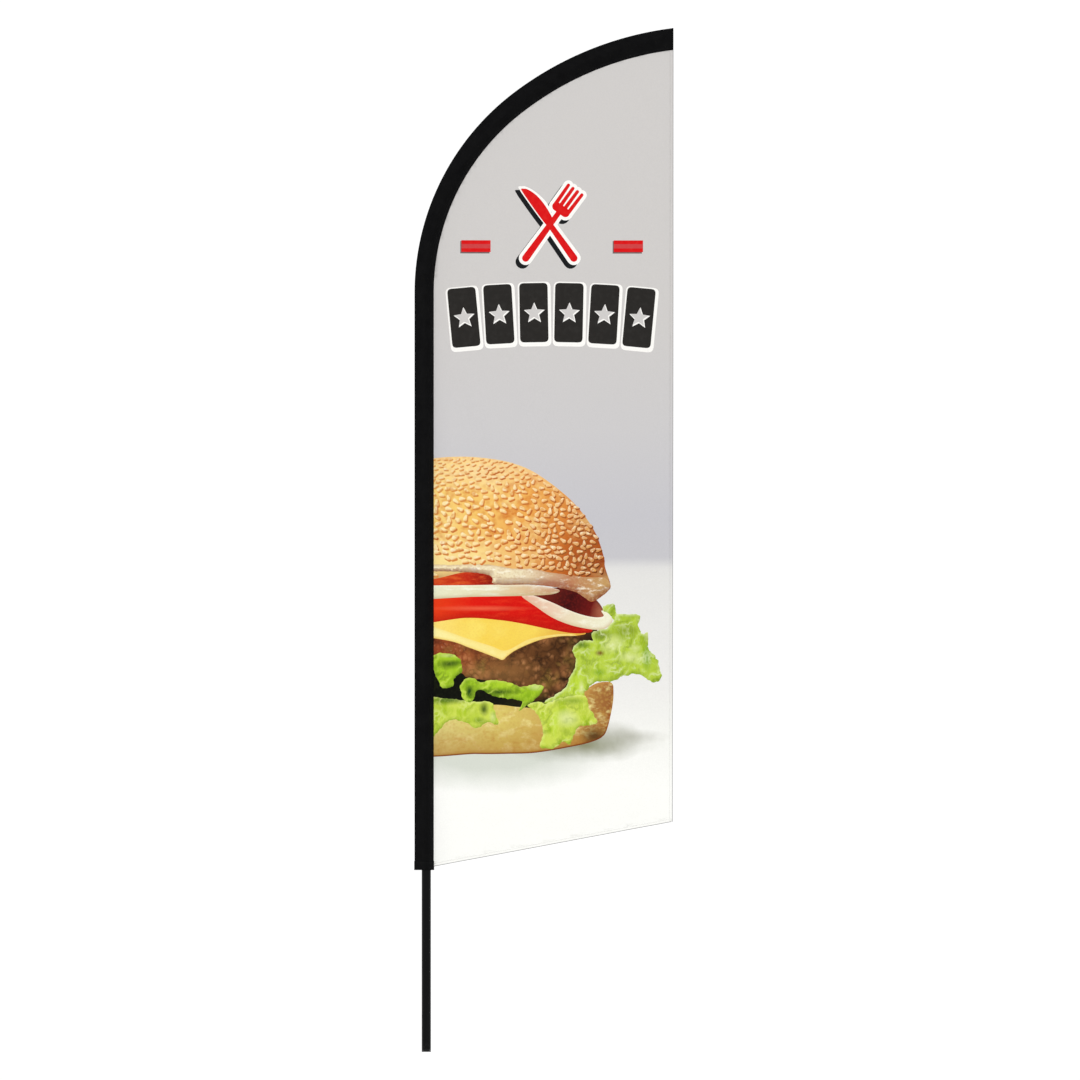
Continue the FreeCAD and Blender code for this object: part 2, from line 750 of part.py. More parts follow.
def cloth_outline(body):
    """Sketch of the whole panel: seam, the two arcs of the curved seam, trailing and bottom edge."""
    sketch = new_sketch(body, "outline")
    gap = SIZE["panel_gap"]
    seam, right = SIZE["sleeve_seam"] + gap, SIZE["panel_right"]
    low, trailing_low, bend = (
        SIZE[name] for name in ("panel_seam_bottom", "panel_trailing_bottom", "sleeve_bend_height"))
    first, second = SIZE["seam_radius"] - gap, SIZE["seam_end_radius"] - gap
    turn = math.radians(SIZE["seam_turn"])
    centre = Vector(seam + first, bend, 0)
    outwards = Vector(-math.cos(turn), math.sin(turn), 0)
    far_centre = centre + (first - second) * outwards
    end = math.acos((right - far_centre.x) / second)
    top = far_centre.y + second * math.sin(end)
    line = Part.LineSegment(Vector(seam, low, 0), Vector(seam, bend, 0))
    flat = Vector(0, 0, 1)
    inner = Part.ArcOfCircle(Part.Circle(centre, flat, first), math.pi - turn, math.pi)
    outer = Part.ArcOfCircle(Part.Circle(far_centre, flat, second), end, math.pi - turn)
    trailing = Part.LineSegment(Vector(right, top, 0), Vector(right, trailing_low, 0))
    bottom = Part.LineSegment(Vector(right, trailing_low, 0), Vector(seam, low, 0))
    for piece in (line, inner, outer, trailing, bottom):
        sketch.addGeometry(piece)
    constrain(sketch, "Tangent", 0, 2, 1, 2)
    constrain(sketch, "Tangent", 1, 1, 2, 2)
    constrain(sketch, "Coincident", 2, 1, 3, 1)
    constrain(sketch, "Coincident", 3, 2, 4, 1)
    constrain(sketch, "Coincident", 4, 2, 0, 1)
    constrain(sketch, "Vertical", 0)
    constrain(sketch, "Vertical", 3)
    seam_cell = f"{cell('sleeve_seam')} + {cell('panel_gap')}"
    place_point(sketch, 0, 1, (seam, seam_cell), full("panel_seam_bottom"))
    constrain(sketch, "DistanceY", -1, 1, 0, 2, bend, to=cell("sleeve_bend_height"))
    first_cell = f"({cell('seam_radius')} - {cell('panel_gap')})"
    constrain(sketch, "Radius", 1, first, to=first_cell)
    constrain(sketch, "Radius", 2, second, to=f"{cell('seam_end_radius')} - {cell('panel_gap')}")
    constrain(sketch, "DistanceX", -1, 1, 1, 1, centre.x + first * outwards.x,
              to=f"{seam_cell} + {first_cell} * (1 - cos({cell('seam_turn')} * 1 deg))")
    place_point(sketch, 4, 1, full("panel_right"), full("panel_trailing_bottom"))
    return sketch


def hem_line():
    """The bottom hem's inner edge where it crosses the pole's axis and the trailing hem's inner edge."""
    seam_cell = f"({cell('sleeve_seam')} + {cell('panel_gap')})"
    seam = SIZE["sleeve_seam"] + SIZE["panel_gap"]
    tilt = (SIZE["panel_trailing_bottom"] - SIZE["panel_seam_bottom"]) / (SIZE["panel_right"] - seam)
    tilt_cell = (f"(({cell('panel_trailing_bottom')} - {cell('panel_seam_bottom')})"
                 f" / ({cell('panel_right')} - {seam_cell}))")
    low = SIZE["panel_seam_bottom"] + SIZE["hem_width"] / math.cos(math.atan(tilt)) - tilt * seam
    low_cell = (f"{cell('panel_seam_bottom')} + {cell('hem_width')} / cos(atan({tilt_cell}))"
                f" - {tilt_cell} * {seam_cell}")
    inner = SIZE["panel_right"] - SIZE["hem_width"]
    inner_cell = f"({cell('panel_right')} - {cell('hem_width')})"
    return (low, low_cell), (low + tilt * inner, f"{low_cell} + {tilt_cell} * {inner_cell}")


def cloth_cut(body, keep):
    """Cut the outline's pad so that only the panel, trailing hem or bottom hem is left."""
    edge, corner = hem_line()
    inner = (SIZE["panel_right"] - SIZE["hem_width"], f"{cell('panel_right')} - {cell('hem_width')}")
    beyond = (SIZE["panel_right"] + REACH_BEYOND, f"{cell('panel_right')} + {REACH_BEYOND}")
    top = (SIZE["sleeve_bend_height"] + SIZE["fold_end_radius"],
           f"{cell('sleeve_bend_height')} + {cell('fold_end_radius')}")
    below = [(beyond, top), (beyond, ZERO)]
    cuts = {
        "flag_panel": [(inner, top), *below, (ZERO, ZERO), (ZERO, edge), (inner, corner)],
        "trailing_hem": [(ZERO, ZERO), (inner, ZERO), (inner, top), (ZERO, top)],
        "bottom_hem": [(ZERO, edge), (inner, corner), (inner, ZERO), *reversed(below), (ZERO, top)],
    }
    sketch = new_sketch(body, "trim")
    polygon(sketch, cuts[keep])
    pocket_through(body, sketch)


def cloth():
    """Printed panel, and the folded hems on its trailing and bottom edges."""
    thicknesses = (
        ("flag_panel", "panel_thickness"),
        ("trailing_hem", "hem_thickness"),
        ("bottom_hem", "hem_thickness"),
    )
    for label, thickness in thicknesses:
        body = new_body(label)
        pad(body, cloth_outline(body), cell(thickness), midplane=True)
        cloth_cut(body, label)


# ---------------------------------------------------------------- tension strap on the rear

REARWARDS = Rotation(Vector(1, 0, 0), -90)  # turns a body's own Z to +Y


def point_rearwards(body, distance, height):
    """Lay a turned body along +Y, starting at a cell's distance behind the pole's axis."""
    body.Placement = Placement(Vector(0, 0, 0), REARWARDS)
    body.setExpression("Placement.Base.y", cell(distance))
    body.setExpression("Placement.Base.z", cell(height))


def strap_stud():
    """Threaded stud with a mushroom head, on which the strap's eyelet hooks."""
    body = turned("strap_stud", [
        (None, None),
        ("stud_dia", None),
        ("stud_dia", "stud_flange_bottom"),
        ("stud_flange_dia", "stud_flange_bottom"),
        ("stud_flange_dia", "stud_flange_top"),
        ("stud_dia", "stud_flange_top"),
        ("stud_dia", "stud_head_bottom"),
        ("stud_head_dia", "stud_head_bottom"),
        ("stud_head_dia", "stud_length"),
        (None, "stud_length"),
    ])
    point_rearwards(body, "stud_start", "stud_height")


def stud_nut():
    """Hexagon nut on the stud, inside the tube."""
    body = new_body("stud_nut")
    sketch = new_sketch(body, "hexagon", "XY_Plane")
    corner = SIZE["nut_width"] / math.sqrt(3)
    corners = [corner * Vector(math.cos(math.radians(60 * n)), math.sin(math.radians(60 * n)), 0)
               for n in range(6)]
    for start, end in zip(corners, corners[1:] + corners[:1]):
        sketch.addGeometry(Part.LineSegment(start, end))
    rim = sketch.addGeometry(Part.Circle(Vector(0, 0, 0), Vector(0, 0, 1), corner))
    sketch.setConstruction(rim, True)
    for line in range(6):
        constrain(sketch, "Coincident", line, 2, (line + 1) % 6, 1)
        constrain(sketch, "PointOnObject", line, 1, rim)
        if line:
            constrain(sketch, "Equal", 0, line)
    constrain(sketch, "Coincident", rim, 3, -1, 1)
    constrain(sketch, "PointOnObject", 0, 1, -1)
    constrain(sketch, "Radius", rim, corner, to=f"{cell('nut_width')} / sqrt(3)")
    circle(sketch, "nut_bore")
    pad(body, sketch, cell("nut_thickness"))
    point_rearwards(body, "nut_start", "stud_height")


def webbing(label, distance, bottom, length):
    """Flat piece of webbing that hangs behind the pole, standing on its own origin."""
    body = new_body(label)
    sketch = new_sketch(body, "outline")
    rectangle(sketch, minus(half("strap_width")), half("strap_width"), ZERO, full(length))
    strip = pad(body, sketch, cell("strap_thickness"))
    body.setExpression("Placement.Base.y", cell(distance))
    body.setExpression("Placement.Base.z", cell(bottom))
    return body, strip


def tension_strap():
    """Strap that pulls the sleeve down to the stud, its anchor patch and its metal eyelet."""
    body, strip = webbing("tension_strap", "strap_distance", "strap_bottom", "strap_length")
    round_edges(body, strip, "strap_corner", lambda edge: (
        abs(edge.CenterOfMass.z) < 0.01 and abs(edge.Length - SIZE["strap_thickness"]) < 0.01))
    hole = new_sketch(body, "eyelet_hole")
    up = SIZE["stud_height"] - SIZE["strap_bottom"]
    circle(hole, "strap_hole_dia", up=(up, f"{cell('stud_height')} - {cell('strap_bottom')}"))
    pocket_through(body, hole)
    webbing("strap_anchor", "anchor_distance", "anchor_bottom", "anchor_length")
    eyelet = turned("strap_eyelet", [
        ("eyelet_bore", None),
        ("eyelet_dia", None),
        ("eyelet_dia", "eyelet_rear_flange"),
        ("eyelet_barrel", "eyelet_rear_flange"),
        ("eyelet_barrel", "eyelet_front_flange"),
        ("eyelet_dia", "eyelet_front_flange"),
        ("eyelet_dia", "eyelet_length"),
        ("eyelet_bore", "eyelet_length"),
    ])
    point_rearwards(eyelet, "eyelet_start", "stud_height")


# ---------------------------------------------------------------- whole flag


def check_and_write():
    """Stop on any failed object, then write one STEP file for each sub-part."""
    doc.recompute()
    for item in doc.Objects:
        if "Invalid" in item.State or "Error" in item.State:
            raise ValueError(f"{item.Name} failed: {item.State}")
    for item in subparts:
        if item.Shape.isNull() or not item.Shape.isValid():
            raise ValueError(f"{item.Label} has no valid shape")
    os.makedirs("parts", exist_ok=True)
    for item in subparts:
        item.Shape.exportStep(os.path.join("parts", f"{item.Label}.step"))
        box = item.Shape.BoundBox
        print(f"{item.Label:22s} solids {len(item.Shape.Solids)} volume {item.Shape.Volume:10.1f}"
              f"  x {box.XMin:8.2f} {box.XMax:8.2f}  y {box.YMin:7.2f} {box.YMax:7.2f}"
              f"  z {box.ZMin:8.2f} {box.ZMax:8.2f}")


spindle_socket()
socket_cap()
thrust_washer()
retaining_ring()
bushes()
pole_tubes()
joint_collar("lower")
joint_collar("upper")
for level in ("lower", "upper"):
    snap_button(level)
    button_spring(level)
rod_ferrule()
lower_flex_rod()
upper_flex_rod()
rod_coupling()
rod_tip_cap()
straight_sleeve()
sleeve_hem()
curved_sleeve()
end_closure()
cloth()
strap_stud()
stud_nut()
tension_strap()
check_and_write()
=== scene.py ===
import json
import math
import random

import bpy
import numpy as np
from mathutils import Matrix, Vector, noise
from mathutils.geometry import delaunay_2d_cdt


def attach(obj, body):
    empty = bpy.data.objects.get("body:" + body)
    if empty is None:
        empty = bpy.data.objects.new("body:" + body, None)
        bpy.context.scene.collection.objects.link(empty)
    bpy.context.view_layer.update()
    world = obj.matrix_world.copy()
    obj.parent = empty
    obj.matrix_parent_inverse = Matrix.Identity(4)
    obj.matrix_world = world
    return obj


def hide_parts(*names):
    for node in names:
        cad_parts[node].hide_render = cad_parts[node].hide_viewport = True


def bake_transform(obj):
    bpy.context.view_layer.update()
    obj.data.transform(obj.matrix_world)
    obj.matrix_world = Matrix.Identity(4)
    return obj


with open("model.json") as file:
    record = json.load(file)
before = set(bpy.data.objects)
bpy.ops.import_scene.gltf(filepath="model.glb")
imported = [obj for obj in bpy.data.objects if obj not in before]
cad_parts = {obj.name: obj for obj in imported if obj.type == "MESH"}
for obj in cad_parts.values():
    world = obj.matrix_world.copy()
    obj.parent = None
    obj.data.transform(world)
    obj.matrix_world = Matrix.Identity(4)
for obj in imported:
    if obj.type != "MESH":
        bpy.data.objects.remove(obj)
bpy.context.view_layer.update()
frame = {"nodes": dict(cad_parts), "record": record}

# A feather flag: a black sleeve bent over a curved pole, and a printed panel sewn along it.
# Lengths are in millimetres up to the point where a mesh is made, and X and Z are the flag's plane.

MM = 0.001

# --- the sleeve's and panel's edges ---------------------------------------------------------------

SLEEVE_BOTTOM = 497.0
BEND_HEIGHT = 2076.5
FLAG_RIGHT = 676.0
# x where the edge starts, first arc's radius, first arc's turn in degrees, second arc's radius
FOLD = (-32.2, 687.0, 52.9, 902.0)
SEAM = (20.6, 622.3, 51.5, 842.5)

PANEL_TUCK = 4.0  # how far the panel goes in between the sleeve's two layers
PANEL_CORNER_LOW = 507.0  # height of the panel's lower edge at the seam
PANEL_CORNER_HIGH = 632.0  # and at the trailing edge
CLOTH = 0.5  # the printed cloth's thickness
HEM_WIDTH = 10.0
HEM_THICKNESS = 1.6


def bent_edge(edge, turn, outward=0.0):
    """The point of an edge where it has turned by that many radians, moved outward."""
    start, radius, first, second = edge
    first = math.radians(first)
    centre = Vector((start + radius, BEND_HEIGHT))
    if turn > first:
        centre += (radius - second) * Vector((-math.cos(first), math.sin(first)))
        radius = second
    return centre + (radius + outward) * Vector((-math.cos(turn), math.sin(turn)))


def end_turn(edge, right, outward=0.0):
    """How far an edge has turned where it comes to x = right."""
    low, high = 0.5, 1.6
    for _ in range(50):
        middle = (low + high) / 2
        low, high = (middle, high) if bent_edge(edge, middle, outward)[0] < right else (low, middle)
    return low


def bottom_edge(x):
    """Height of the panel's sloping lower edge."""
    slope = (PANEL_CORNER_HIGH - PANEL_CORNER_LOW) / (FLAG_RIGHT - SEAM[0])
    return PANEL_CORNER_LOW + slope * (x - SEAM[0])


def spaced(a, b, step):
    """Points from a to b, a step or less apart."""
    a, b = Vector(a), Vector(b)
    return [a.lerp(b, s) for s in np.linspace(0, 1, int((b - a).length / step) + 2)]


def panel_outline(step, inset=0.0):
    """The panel's outline, anticlockwise, with a point every step or less."""
    left, right = SEAM[0] - PANEL_TUCK, FLAG_RIGHT - inset
    last = end_turn(SEAM, right, PANEL_TUCK)
    arc = [bent_edge(SEAM, t, PANEL_TUCK)
           for t in np.linspace(0, last, int(last * SEAM[1] / step) + 2)]
    corners = [(left, bottom_edge(left) + inset), (right, bottom_edge(right) + inset), arc[-1]]
    line = spaced(corners[0], corners[1], step)[:-1] + spaced(corners[1], corners[2], step)[:-1]
    line += arc[::-1] + spaced(arc[0], corners[0], step)[1:-1]
    return np.array([tuple(p) for p in line])


# --- meshes ---------------------------------------------------------------------------------------

def add_object(name, data):
    """A new object in the scene."""
    made = bpy.data.objects.new(name, data)
    bpy.context.scene.collection.objects.link(made)
    return made


def make_piece(name, points, faces, materials, body="pole", smooth=True):
    """A mesh piece from points in millimetres, riding on a body."""
    mesh = bpy.data.meshes.new(name)
    mesh.from_pydata([(x * MM, y * MM, z * MM) for x, y, z in points], [], faces)
    for material in materials:
        mesh.materials.append(material)
    mesh.validate()
    mesh.polygons.foreach_set("use_smooth", [smooth] * len(mesh.polygons))
    piece = add_object(name, mesh)
    if body:
        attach(piece, body)
    return piece


def ring_faces(rings, around, start=0):
    """Quads between rings of points that follow each other in a list."""
    faces = []
    for r in range(rings - 1):
        for i in range(around):
            a, b = start + r * around + i, start + r * around + (i + 1) % around
            faces.append((a, b, b + around, a + around))
    return faces


def closed_rings(rings, around):
    """Faces of a solid made of rings of points, with an end face on the first and last ring."""
    last = (rings - 1) * around
    ends = [tuple(range(around))[::-1], tuple(range(last, last + around))]
    return ring_faces(rings, around) + ends


def stitch_row(path, normals, width=0.55, length=3.2, lift=0.25):
    """Thread stitches along a path, one at each point, each lying along it and rounded."""
    points, faces = [], []
    path = [Vector(p) for p in path]
    for i in range(len(path) - 1):
        along = (path[i + 1] - path[i]).normalized()
        up = Vector(normals[i]).normalized()
        side = along.cross(up)
        first = len(points)
        for t, fat in ((-0.5, 0.35), (-0.25, 1.0), (0.25, 1.0), (0.5, 0.35)):
            middle = path[i] + along * length * t + up * (lift - 0.35 * abs(t) * 2 * lift)
            for angle in (45, 135, 225, 315):
                c, s = math.cos(math.radians(angle)), math.sin(math.radians(angle))
                points.append(tuple(middle + (side * c + up * s) * width * fat / 2))
        faces += ring_faces(4, 4, first)
        faces += [(first + 3, first + 2, first + 1, first),
                  (first + 12, first + 13, first + 14, first + 15)]
    return points, faces


def joined(parts):
    """One list of points and one of faces from several."""
    points, faces = [], []
    for more, rims in parts:
        faces += [tuple(i + len(points) for i in f) for f in rims]
        points += [tuple(p) for p in more]
    return points, faces


def make_stitches(name, rows, material):
    """A piece made of rows of stitches."""
    points, faces = joined(rows)
    return make_piece(name, points, faces, [material])


# --- shader nodes ---------------------------------------------------------------------------------

def linear(colour):
    """A colour of 0 to 255 as the linear values that a shader takes."""
    def one(v):
        v /= 255
        return v / 12.92 if v <= 0.04045 else ((v + 0.055) / 1.055) ** 2.4
    return tuple(one(v) for v in colour) + (1.0,)


class Shader:
    """A material being built. Places are the object's own, which are the flag's at rest."""

    def __init__(self, name):
        self.material = bpy.data.materials.new(name)
        self.material.use_nodes = True
        self.tree = self.material.node_tree
        self.surface = self.tree.nodes["Principled BSDF"]
        self.place = self.node("ShaderNodeTexCoord").outputs["Object"]
        self.axes = self.node("ShaderNodeSeparateXYZ", {0: self.place}).outputs
        self.relief = None

    def node(self, kind, inputs=None, **settings):
        made = self.tree.nodes.new(kind)
        for key, value in settings.items():
            setattr(made, key, value)
        for key, value in (inputs or {}).items():
            self.put(made.inputs[key], value)
        return made

    def put(self, socket, value):
        if isinstance(value, bpy.types.NodeSocket):
            self.tree.links.new(value, socket)
        else:
            socket.default_value = value

    def maths(self, operation, a, b=0.0, clamp=False):
        return self.node("ShaderNodeMath", {0: a, 1: b}, operation=operation,
                         use_clamp=clamp).outputs[0]

    def times(self, a, b):
        return self.maths("MULTIPLY", a, b)

    def plus(self, a, b):
        return self.maths("ADD", a, b)

    def minus(self, a, b):
        return self.maths("SUBTRACT", a, b)

    def span(self, value, low, high, to_low=0.0, to_high=1.0):
        names = ("Value", "From Min", "From Max", "To Min", "To Max")
        inputs = dict(zip(names, (value, low, high, to_low, to_high)))
        return self.node("ShaderNodeMapRange", inputs, clamp=True).outputs[0]

    def ramp(self, factor, stops):
        """Colours at places from 0 to 1: the two ends first, then the ones between."""
        made = self.node("ShaderNodeValToRGB", {0: factor})
        ends = made.color_ramp.elements
        for i, (position, colour) in enumerate(stops):
            stop = ends[i] if i < 2 else ends.new(position)
            stop.position = position
            stop.color = linear(colour)
        return made.outputs[0]

    def mix(self, factor, a, b, blend="MIX"):
        a, b = (linear(c) if isinstance(c, tuple) else c for c in (a, b))
        return self.node("ShaderNodeMix", {0: factor, 6: a, 7: b}, data_type="RGBA",
                         blend_type=blend, clamp_result=True).outputs[2]

    def tint(self, colour, towards, amount, strength):
        """The colour moved towards another by amount times strength."""
        return self.mix(self.times(amount, strength), colour, towards)

    def stretched(self, stretch):
        if stretch == (1, 1, 1):
            return self.place
        return self.node("ShaderNodeMapping", {"Vector": self.place, "Scale": stretch}).outputs[0]

    def noise(self, scale, detail=3.0, roughness=0.5, stretch=(1, 1, 1)):
        inputs = {"Vector": self.stretched(stretch), "Scale": scale, "Detail": detail,
                  "Roughness": roughness}
        return self.node("ShaderNodeTexNoise", inputs).outputs[0]

    def cells(self, scale, feature="F1", stretch=(1, 1, 1), warp=0.0):
        """Distances in a pattern of cells, whose edges wander by warp metres."""
        vector = self.stretched(stretch)
        if warp:
            inputs = {"Vector": vector, "Scale": scale * 0.9, "Detail": 3.0}
            wander = self.node("ShaderNodeTexNoise", inputs).outputs["Color"]
            vector = self.node("ShaderNodeVectorMath", {0: wander, 1: (warp, warp, warp), 2: vector},
                               operation="MULTIPLY_ADD").outputs[0]
        inputs = {"Vector": vector, "Scale": scale}
        return self.node("ShaderNodeTexVoronoi", inputs, feature=feature).outputs["Distance"]

    def wave(self, value, pitch):
        """A sine of a coordinate, from -1 to 1, repeating every pitch metres."""
        return self.maths("SINE", self.times(value, 2 * math.pi / pitch))

    def ribs(self, across, up):
        """A woven relief, whose ribs repeat every so many metres across and up."""
        return self.times(self.wave(self.axes["X"], across), self.wave(self.axes["Z"], up))

    def attribute(self, name):
        return self.node("ShaderNodeAttribute", attribute_name=name).outputs["Fac"]

    def spot(self, x, z, wide, tall, firm=0.1, rough=0.9):
        """1 in the middle of an ellipse in the flag's plane, fading to 0 at its uneven rim."""
        dx = self.maths("DIVIDE", self.minus(self.axes["X"], x * MM), wide * MM)
        dz = self.maths("DIVIDE", self.minus(self.axes["Z"], z * MM), tall * MM)
        away = self.maths("SQRT", self.plus(self.times(dx, dx), self.times(dz, dz)))
        away = self.minus(self.plus(away, self.times(self.noise(14), rough)), rough / 2)
        return self.span(away, 1.0, firm)

    def patched(self, colour, patches):
        """Soft spots over a colour, each (x, z, wide, tall, its colour, strength) in millimetres.

        A seventh and an eighth number set how firm the spot is and how rough its rim."""
        for x, z, wide, tall, patch, strength, *edge in patches:
            colour = self.tint(colour, patch, self.spot(x, z, wide, tall, *edge), strength)
        return colour

    def bump(self, height, distance, strength=1.0):
        inputs = {"Height": height, "Distance": distance, "Strength": strength}
        if self.relief:
            inputs["Normal"] = self.relief
        self.relief = self.node("ShaderNodeBump", inputs).outputs[0]

    def finish(self, colour, roughness, **plain):
        """Links colour, roughness and relief, and sets the plain numbers on the shader itself."""
        self.put(self.surface.inputs["Base Color"], linear(colour)
                 if isinstance(colour, tuple) else colour)
        self.put(self.surface.inputs["Roughness"], roughness)
        if self.relief:
            self.put(self.surface.inputs["Normal"], self.relief)
        for key, value in plain.items():
            self.surface.inputs[key.replace("_", " ")].default_value = value
        return self.material


# --- the print's outlines -------------------------------------------------------------------------

# Outlines of the printed food, in millimetres in the flag's plane. Each starts behind the sleeve or
# at its left end, and smooth_outline makes it round.
CROWN = [
    (-40, 1600), (0, 1620), (80, 1628), (160, 1625), (240, 1610), (310, 1578), (400, 1507),
    (460, 1428), (487, 1355), (490, 1328), (505, 1280), (498, 1262), (455, 1233), (420, 1255),
    (360, 1272), (290, 1279), (190, 1280), (180, 1308), (110, 1312), (-40, 1314),
]
UNDERSIDE = [
    (-40, 1336), (60, 1332), (160, 1334), (240, 1323), (295, 1322), (345, 1312), (440, 1300),
    (488, 1299), (505, 1280), (498, 1262), (455, 1235), (408, 1260), (360, 1271), (290, 1279),
    (190, 1280), (182, 1297), (153, 1309), (60, 1314), (-40, 1314),
]
UPPER_TOMATO = [(-40, 1322), (160, 1318), (185, 1310), (190, 1293), (180, 1270), (-40, 1262)]
ONION = [
    (-40, 1271), (130, 1277), (260, 1279), (325, 1274), (366, 1264), (345, 1253), (280, 1249),
    (130, 1245), (-40, 1239),
]
RING = [
    (262, 1248), (300, 1220), (345, 1190), (390, 1171), (430, 1161), (468, 1156), (495, 1162),
    (511, 1182), (500, 1204), (480, 1208), (487, 1194), (466, 1190), (428, 1197), (386, 1212),
    (340, 1233), (288, 1251),
]
HOLLOW = [
    (280, 1262), (370, 1272), (412, 1268), (464, 1240), (488, 1206), (490, 1186), (466, 1180),
    (430, 1188), (370, 1206), (300, 1238),
]
TOMATO = [
    (-40, 1262), (136, 1264), (262, 1264), (330, 1243), (390, 1205), (455, 1157), (430, 1147),
    (390, 1148), (325, 1160), (262, 1173), (200, 1182), (110, 1187), (-40, 1176),
]
CHEESE_LOWER_EDGE = [
    (412, 1140), (366, 1138), (320, 1130), (283, 1117), (245, 1099), (224, 1084), (211, 1073),
    (195, 1078), (157, 1092), (115, 1107), (73, 1122), (-40, 1148),
]
CHEESE = [(-40, 1200), (136, 1204), (262, 1192), (390, 1160), (438, 1147)] + CHEESE_LOWER_EDGE
CHEESE_EDGE = [
    (-40, 1180), (61, 1149), (115, 1130), (178, 1111), (220, 1099), (278, 1128), (329, 1140),
    (387, 1145),
] + CHEESE_LOWER_EDGE
PATTY = [
    (-40, 1175), (220, 1150), (387, 1160), (460, 1164), (468, 1134), (430, 1111), (412, 1053),
    (387, 1011), (370, 981), (330, 967), (295, 965), (245, 998), (178, 1015), (115, 1022),
    (86, 1040), (-40, 1060),
]
GAP = [
    (-40, 1090), (94, 1060), (303, 1010), (420, 1030), (400, 940), (262, 944), (178, 950), (-40, 940),
]
LEAF_LEFT = [
    (19, 1082), (36, 1090), (70, 1088), (92, 1074), (99, 1042), (84, 1030), (76, 1016), (72, 1000),
    (48, 994), (34, 1013), (19, 1053),
]
LEAF_MID = [
    (96, 981), (94, 1002), (112, 1023), (134, 1020), (150, 1011), (178, 1017), (220, 1013),
    (262, 1000), (299, 1007), (322, 1000), (316, 985), (298, 966), (255, 933), (264, 960),
    (228, 967), (186, 973), (154, 990), (136, 986), (132, 965), (114, 956), (100, 969),
]
LEAF_LOW = [
    (-30, 962), (52, 967), (132, 958), (165, 960), (182, 952), (191, 925), (198, 896), (169, 902),
    (140, 886), (114, 898), (82, 908), (56, 902), (36, 881), (-30, 820),
]
LEAF_FRONT = [
    (278, 950), (312, 960), (330, 954), (370, 969), (433, 977), (448, 942), (469, 906), (454, 896),
    (424, 893), (411, 880), (396, 845), (375, 850), (354, 833), (314, 836), (322, 873), (316, 902),
    (300, 932),
]
LEAF_RIGHT = [
    (320, 956), (380, 995), (394, 1026), (408, 1053), (410, 1078), (402, 1099), (412, 1118),
    (437, 1128), (458, 1126), (454, 1145), (471, 1155), (496, 1161), (513, 1187), (483, 1212),
    (490, 1223), (514, 1226), (524, 1201), (550, 1199), (584, 1197), (582, 1166), (592, 1145),
    (609, 1149), (609, 1103), (630, 1082), (645, 1032), (634, 1013), (609, 1019), (580, 1036),
    (545, 1030), (504, 1015), (471, 1015), (450, 1002), (436, 985), (430, 972), (387, 969),
    (345, 956),
]
HEEL = [
    (-40, 940), (199, 956), (262, 958), (400, 950), (434, 986), (455, 1004), (480, 1013), (509, 1011),
    (514, 986), (511, 948), (498, 889), (484, 864), (452, 849), (402, 837), (303, 820), (220, 816),
    (136, 815), (-40, 817),
]


def smooth_outline(points, step=6.0, ruffle=0.0):
    """A closed curve through the points, with its ends joined, and a small waviness if asked."""
    points = np.array(points, float)
    line = []
    for i in range(len(points)):
        p0, p1, p2, p3 = (points[(i + k) % len(points)] for k in (-1, 0, 1, 2))
        count = max(1, int(np.linalg.norm(p2 - p1) / step))
        for t in np.arange(count) / count:
            line.append(0.5 * (2 * p1 + (p2 - p0) * t + (2 * p0 - 5 * p1 + 4 * p2 - p3) * t ** 2
                               + (3 * p1 - p0 - 3 * p2 + p3) * t ** 3))
    line = np.array(line)
    if ruffle:
        ahead = np.roll(line, -1, 0) - np.roll(line, 1, 0)
        out = np.stack([ahead[:, 1], -ahead[:, 0]], 1)
        out /= np.maximum(np.linalg.norm(out, axis=1, keepdims=True), 1e-6)
        wave = [noise.noise((x / 11, z / 11, 3.0)) + 0.6 * noise.noise((x / 5, z / 5, 8.0))
                for x, z in line]
        line = line + out * np.array(wave)[:, None] * ruffle
    return line


def anticlockwise(line):
    """The closed line, turned round if it runs clockwise."""
    x, z = np.asarray(line, float).T
    turns = np.sum(x * np.roll(z, -1) - z * np.roll(x, -1))
    return np.asarray(line, float) if turns > 0 else np.asarray(line, float)[::-1]


def inside(points, line):
    """Which of the points lie inside a closed line."""
    x, z = points.T
    result = np.zeros(len(points), bool)
    for (ax, az), (bx, bz) in zip(line, np.roll(line, -1, 0)):
        if az != bz:
            crosses = (az > z) != (bz > z)
            result ^= crosses & (x < (bx - ax) * (z - az) / (bz - az) + ax)
    return result


def place(points, x, z, turn=0.0, scale=1.0):
    """Points turned by degrees, scaled, and moved to x, z."""
    c, s = math.cos(math.radians(turn)), math.sin(math.radians(turn))
    p = np.asarray(points, float) * scale
    return np.stack([x + c * p[:, 0] - s * p[:, 1], z + s * p[:, 0] + c * p[:, 1]], 1)


def capsule(a, b, radius_a, radius_b, grow=0.0):
    """A rounded bar from a to b."""
    a, b = np.array(a, float), np.array(b, float)
    heading = math.degrees(math.atan2(*(b - a)[::-1]))
    arc = np.radians(np.linspace(90, 270, 9))
    cap = np.stack([np.cos(arc), np.sin(arc)], 1)
    ends = [place(cap * (radius_a + grow), *a, heading), place(-cap * (radius_b + grow), *b, heading)]
    return np.concatenate(ends)


def knife(grow):
    """A table knife's handle and blade, grown on every side by grow millimetres."""
    blade = [(-7, 2), (13, 2), (19, 25), (21, 60), (17, 92), (6, 118), (-4, 126), (-8, 110)]
    blade = np.array(blade, float)
    middle = blade.mean(0)
    away = blade - middle
    blade = middle + away * (1 + grow / np.linalg.norm(away, axis=1, keepdims=True))
    return [capsule((0, -112), (1, 4), 10, 7.5, grow), smooth_outline(blade, 8)]


